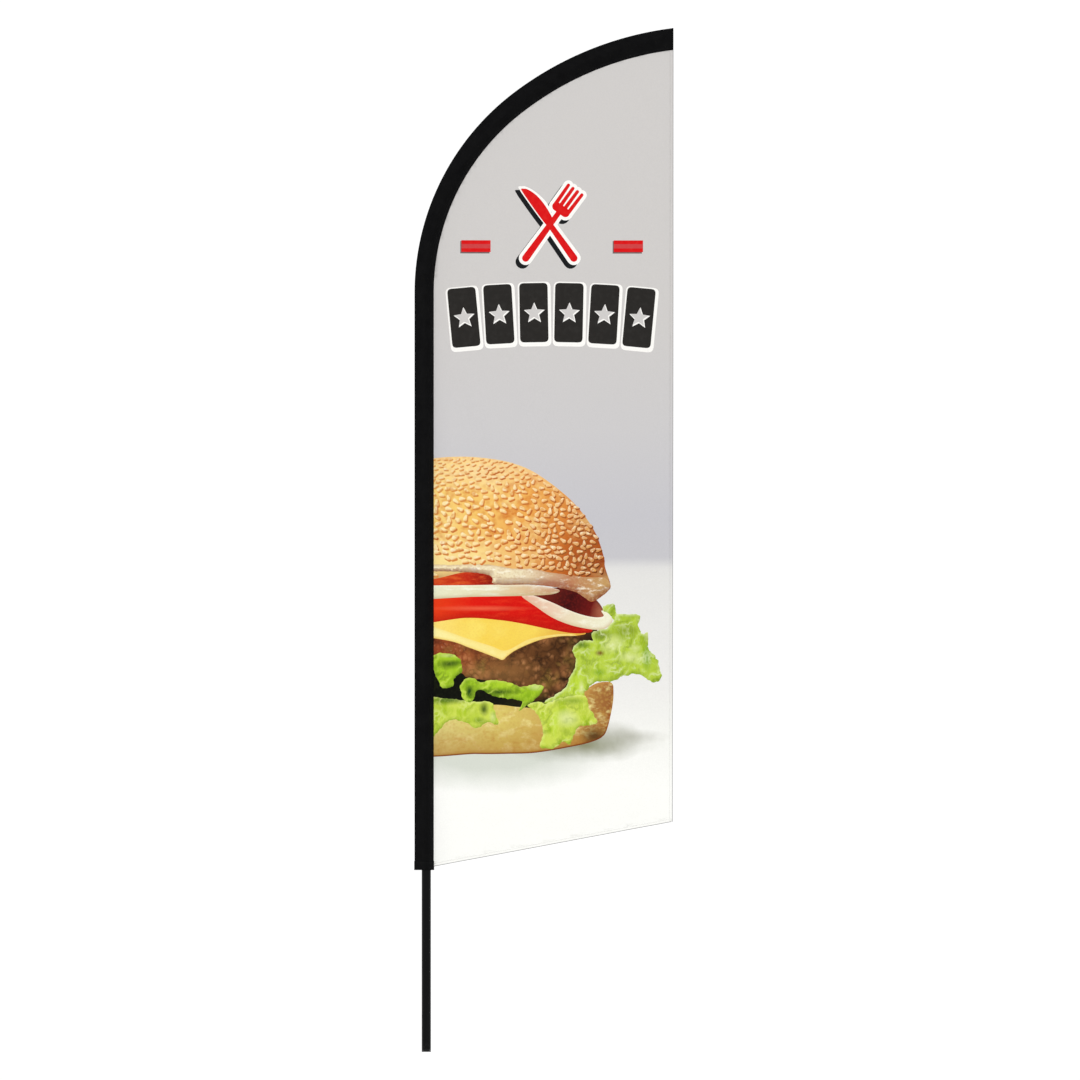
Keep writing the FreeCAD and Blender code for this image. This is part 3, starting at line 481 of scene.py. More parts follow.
def fork(grow):
    """A fork's handle, shoulder and four tines, grown in the same way."""
    shapes = [capsule((0, -112), (0, 40), 10, 7, grow), capsule((-15, 52), (15, 52), 12, 12, grow)]
    return shapes + [capsule((x, 52), (x * 1.08, 118), 5.5, 4.5, grow) for x in (-21, -7, 7, 21)]


def star(radius):
    """A five-pointed star with a point at the top."""
    turns = np.radians(90 + 36 * np.arange(10))
    reach = np.where(np.arange(10) % 2, 0.45, 1.0) * radius
    return np.stack([np.cos(turns) * reach, np.sin(turns) * reach], 1)


ICON = (338, 2262)  # middle of the crossed knife and fork
ICON_OUTLINE = 9.0
DASHES, DASH_HEIGHT = (136, 553), 2204
BLOCKS = 6
BAND_LEFT, BAND_RIGHT = 55, 630
BAND_LOW, BAND_HIGH, BAND_RISE = 1922, 2084, 20


def icon_layers():
    """A crossed knife and fork with a light outline and a drop shadow, and a dash on each side."""
    layers = []
    for grow, shift, paint in ((ICON_OUTLINE, (-9, -10), "shadow"), (ICON_OUTLINE, (0, 0), "outline"),
                               (0.0, (0, 0), "red")):
        for shapes, turn in ((knife(grow), 36), (fork(grow), -36)):
            layers += [(paint, place(s, ICON[0] + shift[0], ICON[1] + shift[1], turn))
                       for s in shapes]
    for x in DASHES:
        for low, high, move, paint in ((-17, 17, -3, "dash_shadow"), (-16, 16, 0, "red_pale"),
                                       (6, 16, 0, "red"), (-16, -6, 0, "red")):
            bar = [(-40, low), (40, low), (40, high), (-40, high)]
            layers.append((paint, place(bar, x + move, DASH_HEIGHT + move)))
    return layers


def band_layers():
    """A row of dark blocks along an arch, each with a star cut out of it."""
    layers = []
    pitch = (BAND_RIGHT - BAND_LEFT) / BLOCKS
    middle = (BAND_LEFT + BAND_RIGHT) / 2
    for i in range(BLOCKS):
        x = BAND_LEFT + pitch * (i + 0.5)
        off = (x - middle) / (middle - BAND_LEFT)
        rise = BAND_RISE * (1 - off * off)
        turn = -6.5 * off
        half, low, high = pitch / 2 - 9, BAND_LOW + rise, BAND_HIGH + rise
        centre = (x, (low + high) / 2)
        tall = (high - low) / 2
        corners = [(-half, -tall), (half, -tall), (half, tall), (-half, tall)]
        block = rounded(corners, 12)
        layers.append(("outline", place(rounded(np.array(corners) * (1.16, 1.09), 15),
                                        centre[0] + 2, centre[1] - 4, turn)))
        layers.append(("dark", place(block, *centre, turn)))
        layers.append(("outline", place(star(30), centre[0] + 1.5, centre[1] - 2, turn)))
        layers.append(("backdrop", place(star(26), *centre, turn)))
    return layers


def rounded(corners, radius):
    """A polygon with its corners rounded."""
    corners = np.array(corners, float)
    line = []
    for i, corner in enumerate(corners):
        before, after = corners[i - 1] - corner, corners[(i + 1) % len(corners)] - corner
        a = corner + before / np.linalg.norm(before) * radius
        b = corner + after / np.linalg.norm(after) * radius
        line += [(1 - t) ** 2 * a + 2 * t * (1 - t) * corner + t * t * b
                 for t in np.linspace(0, 1, 5)]
    return np.array(line)


SEED_AREA = ((18, 505), (1290, 1625))  # least and most x, and least and most z
SEED_TRIES, SEED_DRAW = 9000, 11


def seed_layers():
    """Sesame seeds, each with a crescent of shadow, laid over the bun's dome."""
    draw = random.Random(SEED_DRAW)
    tries = np.array([[draw.uniform(*reach) for reach in SEED_AREA] for _ in range(SEED_TRIES)])
    reach = np.where(tries[:, 1] < 1400, 8.0, 2.0)
    crown, under = smooth_outline(CROWN), smooth_outline(UNDERSIDE)
    clear = inside(tries, crown) & (distance_to(tries, crown)[0] > reach)
    clear &= ~inside(tries, under) & (distance_to(tries, under)[0] > reach)
    taken, layers = [], []
    for x, z in tries[clear]:
        near_top = max(0.0, (z - 1500) / 125)
        dome = max(0.0, (x - 250) / 250)
        size = 1.0 - 0.45 * min(1.0, near_top) - 0.15 * dome
        gap = 19.0 * size - (2.0 if z < 1400 or x > 330 else 0.0)
        if any((x - a) ** 2 + ((z - b) * 1.25) ** 2 < gap * gap for a, b in taken):
            continue
        if x < 260 and 1340 < z < 1490 and noise.noise((x / 45, z / 45, 1.0)) > 0.22:
            continue
        taken.append((x, z))
        turn = draw.choice((-30, -12, 0, 20, 65, 100, 150)) + draw.uniform(-15, 15)
        turn = turn if near_top < 0.5 else turn * 0.3
        long, wide = draw.uniform(7.2, 9.8) * size, draw.uniform(4.8, 6.4) * size
        seed = place(capsule((-long * 0.55, 0), (long * 0.6, 0), wide, wide * 0.55), x, z, turn)
        shadow = place(capsule((-long * 0.6, 0), (long * 0.65, 0), wide * 1.08, wide * 0.65),
                       x + 2.6 * size, z - 3.8 * size, turn)
        layers += [("seed_shadow", shadow), ("seed", seed)]
    return layers


def print_layers():
    """Every shape of the print as (paint, closed line), from the back to the front."""
    food = [
        ("heel", HEEL, 0), ("gap", GAP, 0), ("patty", PATTY, 2.5), ("cheese", CHEESE, 0),
        ("cheese_edge", CHEESE_EDGE, 0), ("tomato", TOMATO, 0), ("hollow", HOLLOW, 0),
        ("upper_tomato", UPPER_TOMATO, 0), ("ring", RING, 0), ("onion", ONION, 0),
        ("crown", CROWN, 0), ("underside", UNDERSIDE, 1.5),
    ]
    leaves = [("leaf_right", LEAF_RIGHT, 4.0), ("leaf_front", LEAF_FRONT, 3.0),
              ("leaf_left", LEAF_LEFT, 3.0), ("leaf_low", LEAF_LOW, 3.0),
              ("leaf_mid", LEAF_MID, 3.0)]
    layers = [(paint, smooth_outline(line, 5.0, ruffle)) for paint, line, ruffle in food]
    layers += seed_layers()
    layers += [(paint, smooth_outline(line, 4.0, ruffle)) for paint, line, ruffle in leaves]
    return layers + icon_layers() + band_layers()


# --- the print's paints ---------------------------------------------------------------------------

def printed(shader, colour):
    """Ink on knitted polyester: fine ribs, a slightly uneven tone and little gloss."""
    shader.bump(shader.ribs(0.0011, 0.0009), 0.00006)
    shader.bump(shader.noise(420, 2), 0.00009)
    mottled = shader.span(shader.noise(260, 2), 0.3, 0.7, 0.0, 0.05)
    colour = shader.mix(mottled, colour, (150, 150, 150), "MULTIPLY")
    return shader.finish(colour, shader.span(shader.noise(900, 2), 0.2, 0.8, 0.58, 0.74),
                         Specular_IOR_Level=0.06, Sheen_Weight=0.02, Sheen_Roughness=0.4)


def backdrop_colour(shader):
    """A pale studio backdrop over a white table, with the food's soft shadows."""
    colour = shader.ramp(shader.span(shader.axes["Z"], 0.5, 2.8), [
        (0.0, (254, 254, 250)), (1.0, (207, 204, 202)), (0.10, (254, 254, 250)),
        (0.155, (247, 247, 242)), (0.22, (238, 237, 234)), (0.345, (229, 228, 225)),
        (0.358, (226, 225, 223)), (0.370, (200, 199, 203)), (0.42, (199, 198, 203)),
        (0.52, (205, 203, 204)), (0.65, (207, 204, 202)),
    ])
    return shader.patched(colour, [
        (170, 830, 360, 125, (203, 209, 196), 0.75, 0.45, 0.25),
        (420, 850, 230, 62, (158, 160, 140), 0.8, 0.2, 0.5),
        (560, 862, 105, 26, (170, 170, 155), 0.6, 0.0, 0.6),
        (430, 838, 120, 36, (128, 130, 92), 0.75, 0.0, 0.7),
    ])


def paint_backdrop():
    """The print's whole ground, which the panel's rear shows too."""
    shader = Shader("print backdrop")
    return printed(shader, backdrop_colour(shader))


def painted(name, across, turn=0.0, reach=(20, 500), edge=None, edge_width=10.0, lit=None,
            shaded=None, blotches=(), grain=None, patches=()):
    """One painted shape: colours across it, a rim, lit and shaded sides, blotches and grain.

    across is a list of (0 to 1, colour) laid over reach millimetres along a line at turn degrees.
    edge is (colour, strength) for a rim. lit and shaded are (colour, width, strength) for rims that
    face the light or away from it. blotches are (colour, scale, stretch, low, high), grain is
    (colour, scale, strength), and patches are as Shader.patched takes them."""
    shader = Shader("print " + name)
    c, s = math.cos(math.radians(turn)), math.sin(math.radians(turn))
    along = shader.plus(shader.times(shader.axes["X"], c), shader.times(shader.axes["Z"], s))
    along = shader.plus(along, shader.times(shader.minus(shader.noise(12), 0.5), 0.06))
    along = shader.span(along, reach[0] * MM, reach[1] * MM)
    colour = shader.ramp(along, [across[0], across[-1]] + list(across[1:-1]))
    for blotch, scale, stretch, low, high in blotches:
        amount = shader.span(shader.noise(scale, 4, 0.6, stretch), low, high)
        colour = shader.mix(amount, colour, blotch)
    inset, facing = shader.attribute("inset"), shader.attribute("facing")
    if edge:
        colour = shader.tint(colour, edge[0], shader.span(inset, edge_width, 0.0), edge[1])
    for side, sign in ((lit, 1), (shaded, -1)):
        if side:
            towards = shader.maths("MULTIPLY", facing, sign, clamp=True)
            rim = shader.maths("POWER", shader.span(inset, side[1], 0.0), 1.4)
            colour = shader.tint(colour, side[0], shader.times(towards, rim), side[2])
    if grain:
        speck = shader.span(shader.cells(grain[1]), 0.15, 0.6, grain[2], 0.0)
        colour = shader.mix(speck, colour, grain[0])
    return shader, shader.patched(colour, patches)


def food(name, across, **looks):
    """A shape of the food that needs nothing more than its painted colours."""
    return printed(*painted(name, across, **looks))


def paint_seed():
    """Sesame seeds, browner on the dome's lower right and on its top."""
    shader, colour = painted(
        "seed", [(0, (254, 234, 172)), (0.45, (252, 220, 154)), (0.72, (238, 186, 122)),
                 (1, (190, 122, 68))], **DOME,
        blotches=[((228, 168, 92), 42, (1, 1, 1), 0.54, 0.64),
                  ((255, 242, 205), 75, (1, 1, 1), 0.5, 0.72)],
        lit=((255, 240, 200), 5, 0.55), shaded=((216, 142, 70), 6, 0.8))
    top = shader.span(shader.axes["Z"], 1.50, 1.62)
    return printed(shader, shader.tint(colour, (226, 160, 92), top, 0.35))


def paint_patty():
    """Minced meat: lumps of two sizes with dark cracks between them, redder at the left."""
    shader, colour = painted(
        "patty", [(0, (138, 64, 32)), (0.3, (134, 78, 40)), (0.55, (110, 68, 36)),
                  (1, (74, 46, 22))],
        reach=(15, 440), blotches=[((128, 98, 46), 14, (1, 1, 1), 0.52, 0.66),
                                   ((30, 15, 9), 22, (1, 1, 1), 0.53, 0.66)],
        lit=((46, 22, 14), 18, 0.7), shaded=((20, 9, 6), 34, 0.9))
    for scale, light, strength in ((24, (190, 126, 76), 0.75), (58, (216, 150, 98), 0.55)):
        lump = shader.span(shader.cells(scale, warp=0.018), 0.50, 0.05)
        some = shader.span(shader.noise(scale * 0.5, 3), 0.42, 0.62)
        colour = shader.tint(colour, light, shader.times(lump, some), strength)
        crack = shader.span(shader.cells(scale, "DISTANCE_TO_EDGE", warp=0.018), 0.12, 0.0, 0.0, 0.5)
        some = shader.span(shader.noise(scale * 0.7, 2), 0.4, 0.6)
        colour = shader.tint(colour, (26, 12, 7), crack, some)
    colour = shader.patched(colour, [(196, 1040, 150, 52, (172, 124, 70), 0.34)])
    warm = shader.times(shader.spot(60, 1090, 130, 60), 0.3)
    colour = shader.mix(warm, colour, (186, 86, 50))
    glint = shader.span(shader.cells(90, warp=0.01), 0.22, 0.05)
    return printed(shader, shader.tint(colour, (246, 196, 160), warm, glint))


def paint_heel():
    """The bun's lower half, browner low down and dark along its bottom crust."""
    shader, colour = painted(
        "bun heel", [(0, (224, 212, 132)), (0.4, (220, 200, 106)), (0.75, (196, 150, 76)),
                     (1, (150, 92, 48))],
        reach=(15, 515), blotches=[((240, 226, 150), 26, (1, 1, 1.6), 0.5, 0.68),
                                   ((196, 146, 66), 18, (1, 1, 2), 0.56, 0.74)],
        shaded=((150, 74, 24), 13, 1.0), lit=((212, 156, 84), 22, 0.5),
        grain=((206, 168, 88), 110, 0.4))
    low = shader.span(shader.axes["Z"], 0.905, 0.822)
    colour = shader.tint(colour, (168, 112, 44), low, 0.6)
    colour = shader.patched(colour, [(462, 862, 52, 34, (74, 50, 24), 0.85, 0.1, 0.8)])
    crust = shader.span(shader.attribute("inset"), 5.0, 1.0)
    low = shader.span(shader.axes["Z"], 0.90, 0.86)
    return printed(shader, shader.tint(colour, (120, 52, 18), crust, low))


def paint_leaf(name, tones, patches):
    """A lettuce leaf: pale ruffled rims, folds in light and shade, veins and soft patches."""
    dark, mid, light, pale = tones
    shader, colour = painted(
        name, [(0, mid), (0.5, light), (1, mid)], turn=60, reach=(700, 1450),
        blotches=[(light, 17, (1, 1, 1), 0.44, 0.56), (mid, 24, (1.3, 1, 0.7), 0.50, 0.62)],
        lit=(pale, 9, 0.8), shaded=(dark, 12, 0.6), patches=patches)
    sway = shader.times(shader.noise(16, 3, 0.6), 0.10)
    slope = shader.times(shader.minus(shader.axes["X"], shader.axes["Z"]), 0.35)
    folds = shader.wave(shader.plus(sway, slope), 0.022)
    patchy = shader.span(shader.noise(22, 2), 0.42, 0.60)
    crease = shader.times(shader.span(folds, 0.35, 1.0), patchy)
    ridge = shader.times(shader.span(folds, -0.5, -1.0), patchy)
    veins = shader.span(shader.cells(60, "DISTANCE_TO_EDGE", (1.6, 1, 0.5)), 0.05, 0.0)
    for amount, strength, tone in ((crease, 0.42, dark), (ridge, 0.55, pale), (veins, 0.14, pale)):
        colour = shader.tint(colour, tone, amount, strength)
    return printed(shader, colour)


def ink(name, colour, worn):
    """A plain printed ink, thinner in places so that the cloth shows a little."""
    shader = Shader("print " + name)
    thin = shader.span(shader.noise(60, 4, 0.6), 0.45, 0.75, 0.0, 0.35)
    return printed(shader, shader.mix(thin, colour, worn))


DOME = {"turn": -24, "reach": (-660, -85)}  # the bun's top gets darker down and to the right
# each leaf's dark, middle, light and pale green
BRIGHT = ((98, 134, 22), (176, 202, 50), (204, 220, 84), (230, 240, 142))
DEEP = ((40, 76, 18), (136, 176, 28), (166, 204, 42), (210, 230, 98))
OLD = ((100, 126, 32), (160, 188, 44), (188, 212, 72), (230, 240, 180))
PALE_GREEN, FOREST, OLIVE, LIME = (224, 232, 158), (24, 66, 16), (138, 160, 46), (196, 226, 60)
LEAVES = {
    "leaf_right": ("leaf at the right", OLD, [
        (550, 1152, 46, 28, OLIVE, 0.85), (480, 1140, 32, 20, (78, 98, 30), 0.8),
        (513, 1222, 20, 14, (120, 150, 40), 0.6), (603, 1080, 16, 40, (96, 150, 30), 0.8),
        (425, 1113, 26, 12, (60, 104, 26), 0.85), (475, 1091, 15, 9, (122, 92, 36), 0.95),
        (472, 1038, 24, 12, (112, 160, 30), 0.6), (510, 1114, 38, 30, PALE_GREEN, 0.75),
        (556, 1080, 48, 20, PALE_GREEN, 0.75), (572, 1104, 22, 14, PALE_GREEN, 0.7),
        (604, 1138, 13, 22, PALE_GREEN, 0.7), (412, 1010, 26, 60, LIME, 0.7),
        (424, 998, 8, 24, PALE_GREEN, 0.8)]),
    "leaf_front": ("leaf in front", BRIGHT, [
        (382, 912, 38, 30, PALE_GREEN, 0.75), (352, 905, 14, 60, LIME, 0.6),
        (400, 960, 50, 12, (112, 150, 40), 0.6)]),
    "leaf_left": ("leaf at the left", DEEP, [
        (62, 1060, 36, 15, (54, 80, 20), 0.8), (70, 1064, 34, 9, FOREST, 0.6),
        (60, 1084, 30, 7, PALE_GREEN, 0.5)]),
    "leaf_low": ("leaf over the heel", BRIGHT, [
        (158, 936, 15, 22, FOREST, 0.85), (60, 962, 80, 14, (50, 92, 20), 0.8),
        (182, 915, 12, 20, PALE_GREEN, 0.6), (145, 906, 26, 14, (84, 124, 30), 0.7)]),
    "leaf_mid": ("leaf in the middle", DEEP, [
        (118, 987, 16, 22, (14, 58, 20), 0.95), (200, 984, 62, 14, (44, 74, 18), 0.9),
        (300, 998, 26, 14, PALE_GREEN, 0.6), (240, 1004, 60, 8, LIME, 0.6)]),
}
INKS = {
    "red": ("red", (218, 18, 22), (228, 60, 52)),
    "red_pale": ("pale red", (204, 66, 68), (214, 92, 88)),
    "outline": ("white outline", (252, 250, 246), (240, 238, 234)),
    "shadow": ("drop shadow", (24, 26, 28), (48, 50, 52)),
    "dash_shadow": ("dash shadow", (112, 96, 96), (140, 130, 128)),
    "dark": ("charcoal", (41, 39, 37), (58, 56, 54)),
}


def make_paints():
    """Every paint of the print by its name, in the order of the panel's material slots."""
    paints = {"backdrop": paint_backdrop(), "heel": paint_heel()}
    paints["gap"] = food(
        "shade under leaves", [(0, (10, 12, 6)), (0.6, (16, 16, 8)), (1, (46, 36, 16))],
        reach=(15, 320), blotches=[((34, 40, 14), 30, (1, 1, 1), 0.55, 0.75)],
        edge=((24, 24, 12), 0.5), grain=((30, 34, 16), 120, 0.3))
    paints["patty"] = paint_patty()
    paints["cheese"] = food(
        "cheese", [(0, (254, 228, 124)), (0.3, (248, 212, 82)), (0.65, (248, 216, 92)),
                   (1, (214, 150, 60))],
        reach=(15, 440), blotches=[((252, 226, 108), 11, (1, 1, 1), 0.5, 0.75)],
        shaded=((240, 180, 60), 26, 0.4), grain=((238, 190, 84), 190, 0.22))
    paints["cheese_edge"] = food(
        "cheese edge", [(0, (254, 242, 164)), (0.6, (248, 226, 130)), (1, (232, 192, 98))],
        reach=(15, 430), blotches=[((254, 240, 168), 16, (1, 1, 1), 0.5, 0.7)],
        edge=((250, 222, 120), 0.6), edge_width=9, shaded=((226, 176, 70), 6, 0.7),
        grain=((250, 226, 140), 190, 0.25))
    paints["tomato"] = food(
        "tomato", [(0, (232, 62, 22)), (0.25, (224, 24, 12)), (0.7, (208, 14, 12)),
                   (1, (176, 28, 18))],
        reach=(15, 470), blotches=[((232, 54, 28), 16, (1, 1, 5), 0.52, 0.72),
                                   ((196, 14, 10), 10, (1, 1, 4), 0.55, 0.75)],
        lit=((236, 84, 50), 14, 0.4), shaded=((170, 24, 10), 30, 0.75),
        grain=((240, 60, 36), 220, 0.18),
        patches=[(150, 1213, 160, 9, (248, 120, 84), 0.5, 0.1, 0.3)])
    paints["hollow"] = food(
        "shaded inside", [(0, (112, 32, 24)), (0.4, (58, 10, 12)), (0.75, (104, 20, 18)),
                          (1, (190, 116, 86))],
        turn=-22, reach=(-175, 15), blotches=[((124, 24, 18), 20, (1, 1, 2), 0.54, 0.74)],
        edge=((52, 12, 10), 0.5), edge_width=8, grain=((150, 40, 30), 150, 0.2))
    paints["ring"] = food(
        "onion ring", [(0, (230, 176, 150)), (0.35, (236, 206, 180)), (0.7, (234, 226, 192)),
                       (1, (246, 246, 222))],
        turn=-22, reach=(-225, 40), blotches=[((252, 250, 232), 16, (1, 1, 2), 0.5, 0.7)],
        lit=((255, 252, 236), 8, 0.75), shaded=((206, 178, 130), 12, 0.85),
        grain=((222, 214, 176), 240, 0.25))
    paints["onion"] = food(
        "onion", [(0, (236, 236, 204)), (0.4, (232, 224, 186)), (0.7, (224, 194, 152)),
                  (1, (196, 136, 108))],
        reach=(20, 366), blotches=[((248, 250, 232), 14, (1, 1, 6), 0.5, 0.7)],
        lit=((252, 252, 236), 9, 0.7), shaded=((196, 176, 130), 13, 0.85),
        grain=((214, 216, 176), 240, 0.25))
    paints["upper_tomato"] = food(
        "upper tomato", [(0, (206, 66, 26)), (0.6, (190, 40, 20)), (1, (112, 18, 10))],
        reach=(15, 190), blotches=[((228, 96, 44), 18, (1, 1, 4), 0.5, 0.7)],
        edge=((128, 24, 12), 0.6), edge_width=9, grain=((226, 90, 50), 180, 0.2))
    paints["crown"] = food(
        "crown", [(0, (250, 216, 128)), (0.3, (246, 200, 108)), (0.55, (238, 170, 84)),
                  (0.78, (204, 110, 42)), (1, (132, 52, 18))], **DOME,
        blotches=[((253, 226, 150), 12, (1, 1, 1), 0.5, 0.72),
                  ((214, 124, 48), 20, (1, 1, 1.4), 0.54, 0.7)],
        lit=((255, 222, 158), 26, 0.6), shaded=((132, 54, 20), 46, 0.8),
        grain=((214, 130, 58), 62, 0.5),
        patches=[(30, 1345, 330, 85, (253, 232, 160), 0.75, 0.15, 0.3),
                 (140, 1590, 260, 60, (253, 228, 176), 0.55, 0.1, 0.3),
                 (440, 1345, 115, 130, (158, 70, 26), 0.7, 0.1, 0.4)])
    paints["underside"] = food(
        "bun underside", [(0, (244, 228, 186)), (0.5, (240, 226, 190)), (0.74, (190, 128, 92)),
                          (1, (196, 156, 98))],
        reach=(20, 505), blotches=[((255, 247, 224), 34, (1, 1, 2.5), 0.52, 0.66),
                                   ((190, 140, 96), 22, (1, 1, 3), 0.58, 0.75)],
        edge=((196, 146, 100), 0.5), edge_width=5, shaded=((128, 58, 38), 30, 0.95),
        grain=((206, 172, 124), 150, 0.4), patches=[(345, 1279, 62, 22, (166, 98, 72), 0.7)])
    paints["seed"] = paint_seed()
    paints["seed_shadow"] = food(
        "seed shadow", [(0, (224, 158, 82)), (0.45, (210, 122, 56)), (1, (92, 32, 12))], **DOME,
        blotches=[((180, 84, 34), 18, (1, 1, 1), 0.5, 0.7)], edge=((226, 146, 66), 0.3),
        edge_width=1.5)
    paints.update({key: paint_leaf(*looks) for key, looks in LEAVES.items()})
    paints.update({key: ink(*looks) for key, looks in INKS.items()})
    return paints


# --- the panel's cloth ----------------------------------------------------------------------------

LATTICE = 24.0  # millimetres between the points at which the cloth's movement is kept
MOST_BILLOW, MOST_SHIFT = 14.0, 2.5  # the furthest that it may move, across and in its plane
SIM_FRAMES = 44


def lattice_axes():
    """The lattice's places in x and z."""
    return (np.arange(-1, 32) * LATTICE, 480 + np.arange(0, 97) * LATTICE)


def is_sewn(p, last):
    """Whether a point of the flat panel is at the sleeve's seam, straight or curved."""
    if p.x < SEAM[0] - PANEL_TUCK + 1:
        return True
    centre = Vector((SEAM[0] + SEAM[1], BEND_HEIGHT))
    near_curve = p.y > BEND_HEIGHT and (p - centre).length > SEAM[1] * 0.9 or p.y > 2700
    turns = np.linspace(0, last, 60)
    return near_curve and min((bent_edge(SEAM, t, PANEL_TUCK) - p).length for t in turns) < 9


def make_trial(points, faces):
    """The flat panel as polyester cloth, held where it is sewn."""
    mesh = bpy.data.meshes.new("cloth trial")
    mesh.from_pydata([(p.x * MM, 0, p.y * MM) for p in points], [], faces)
    trial = add_object("cloth trial", mesh)
    last = end_turn(SEAM, FLAG_RIGHT, PANEL_TUCK)
    held = [i for i, p in enumerate(points) if is_sewn(p, last)]
    trial.vertex_groups.new(name="sewn").add(held, 1.0, "REPLACE")
    cloth = trial.modifiers.new("Cloth", "CLOTH")
    cloth.point_cache.frame_end = SIM_FRAMES
    settings = {"vertex_group_mass": "sewn", "quality": 7, "mass": 0.12, "tension_stiffness": 40,
                "compression_stiffness": 40, "shear_stiffness": 20, "bending_stiffness": 1.5,
                "air_damping": 2.0, "shrink_min": -0.004}
    for key, value in settings.items():
        setattr(cloth.settings, key, value)
    return trial


def make_wind():
    """A light, gusty wind from the front and a little from the side."""
    wind = add_object("wind", None)
    wind.rotation_euler = (math.radians(-80), 0, math.radians(-25))
    with bpy.context.temp_override(object=wind, active_object=wind):
        bpy.ops.object.forcefield_toggle()
    settings = {"type": "WIND", "strength": 6.0, "flow": 0.4, "noise": 2.5, "seed": 5}
    for key, value in settings.items():
        setattr(wind.field, key, value)
    return wind


def simulate_cloth():
    """How far the cloth moves at each lattice point, from a short simulation in a light wind."""
    xs, zs = lattice_axes()
    field = np.zeros((len(xs), len(zs), 3))
    outline = panel_outline(LATTICE)
    grid = np.array([(x, z) for x in xs for z in zs])
    keys = [(i, j) for i in range(len(xs)) for j in range(len(zs))]
    clear = inside(grid, outline) & (distance_to(grid, outline)[0] > LATTICE * 0.45)
    chosen = [keys[k] for k in np.flatnonzero(clear)]
    coords = [Vector(p) for p in outline] + [Vector(p) for p in grid[clear]]
    rim = list(range(len(outline)))
    points, _, faces, origins, _, _ = delaunay_2d_cdt(coords, [], [rim], 1, 0.01, True)

    trial, wind = make_trial(points, faces), make_wind()
    for number in range(1, SIM_FRAMES + 1):
        bpy.context.scene.frame_set(number)
    graph = bpy.context.evaluated_depsgraph_get()
    moved = np.array([v.co for v in trial.evaluated_get(graph).data.vertices]) / MM
    start = np.array([v.co for v in trial.data.vertices]) / MM
    known = np.zeros((len(xs), len(zs)), bool)
    for index, came_from in enumerate(origins):
        for source in came_from:
            if source >= len(outline):
                i, j = chosen[source - len(outline)]
                field[i, j] = moved[index] - start[index]
                known[i, j] = True
    bpy.data.objects.remove(trial)
    bpy.data.objects.remove(wind)
    bpy.context.scene.frame_set(1)
    return settle(field, known)


def neighbours_mean(field):
    """The mean of each lattice point's four neighbours."""
    padded = np.pad(field, ((1, 1), (1, 1), (0, 0)), mode="edge")
    return (padded[2:, 1:-1] + padded[:-2, 1:-1] + padded[1:-1, 2:] + padded[1:-1, :-2]) / 4


def settle(field, known):
    """Carries the movement past the cloth's edges, evens it out, and keeps it within bounds."""
    for _ in range(120):
        field = np.where(known[:, :, None], field, neighbours_mean(field))
    for _ in range(2):
        field = 0.5 * field + 0.5 * neighbours_mean(field)
    limits = np.array([MOST_SHIFT, MOST_BILLOW, MOST_SHIFT])
    most = np.abs(field[known]).max(0)
    print("cloth moved at most", most.round(1), "mm")
    return field * np.minimum(1.0, limits / np.maximum(most, 1e-6))


def cubic(t):
    """The four weights of a smooth curve through lattice values."""
    return np.stack([-t + 2 * t ** 2 - t ** 3, 2 - 5 * t ** 2 + 3 * t ** 3,
                     t + 4 * t ** 2 - 3 * t ** 3, -t ** 2 + t ** 3]) / 2


def from_seam(x, z):
    """How far a point is from the sleeve's seam, in millimetres."""
    straight = x - SEAM[0]
    start, radius, first, second = SEAM
    first = math.radians(first)
    cx, cz = start + radius, BEND_HEIGHT
    near = radius - np.hypot(x - cx, z - cz)
    turn = np.arctan2(z - cz, cx - x)
    dx, dz = cx - (radius - second) * math.cos(first), cz + (radius - second) * math.sin(first)
    far = second - np.hypot(x - dx, z - dz)
    return np.where(z < BEND_HEIGHT, straight, np.where(turn < first, near, far))


def hang(points, field):
    """Where points of the flat panel (x, z) come to in the hung flag (x, y, z)."""
    points = np.asarray(points, float)
    xs, zs = lattice_axes()
    u = np.clip((points[:, 0] - xs[0]) / LATTICE, 1, len(xs) - 3)
    v = np.clip((points[:, 1] - zs[0]) / LATTICE, 1, len(zs) - 3)
    i, j = u.astype(int), v.astype(int)
    wu, wv = cubic(u - i), cubic(v - j)
    move = np.zeros((len(points), 3))
    for a in range(4):
        for b in range(4):
            move += (wu[a] * wv[b])[:, None] * field[i + a - 1, j + b - 1]
    ease = np.clip(from_seam(points[:, 0], points[:, 1]) / 45, 0, 1)
    move *= (ease * ease * (3 - 2 * ease))[:, None]
    return np.stack([points[:, 0] + move[:, 0], move[:, 1], points[:, 1] + move[:, 2]], 1)


def distance_to(points, line):
    """How far points are from a closed line, and which way the nearest piece of it faces."""
    line = np.asarray(line, float)
    a, b = line, np.roll(line, -1, 0)
    along = b - a
    size = np.maximum((along ** 2).sum(1), 1e-9)
    t = np.clip(((points[:, None] - a) * along).sum(2) / size, 0, 1)
    gap = np.linalg.norm(points[:, None] - (a + t[:, :, None] * along), axis=2)
    nearest = gap.argmin(1)
    out = np.stack([along[:, 1], -along[:, 0]], 1) / np.sqrt(size)[:, None]
    light = np.array([-0.5, 0.87])
    return gap[np.arange(len(points)), nearest], (out @ light)[nearest]


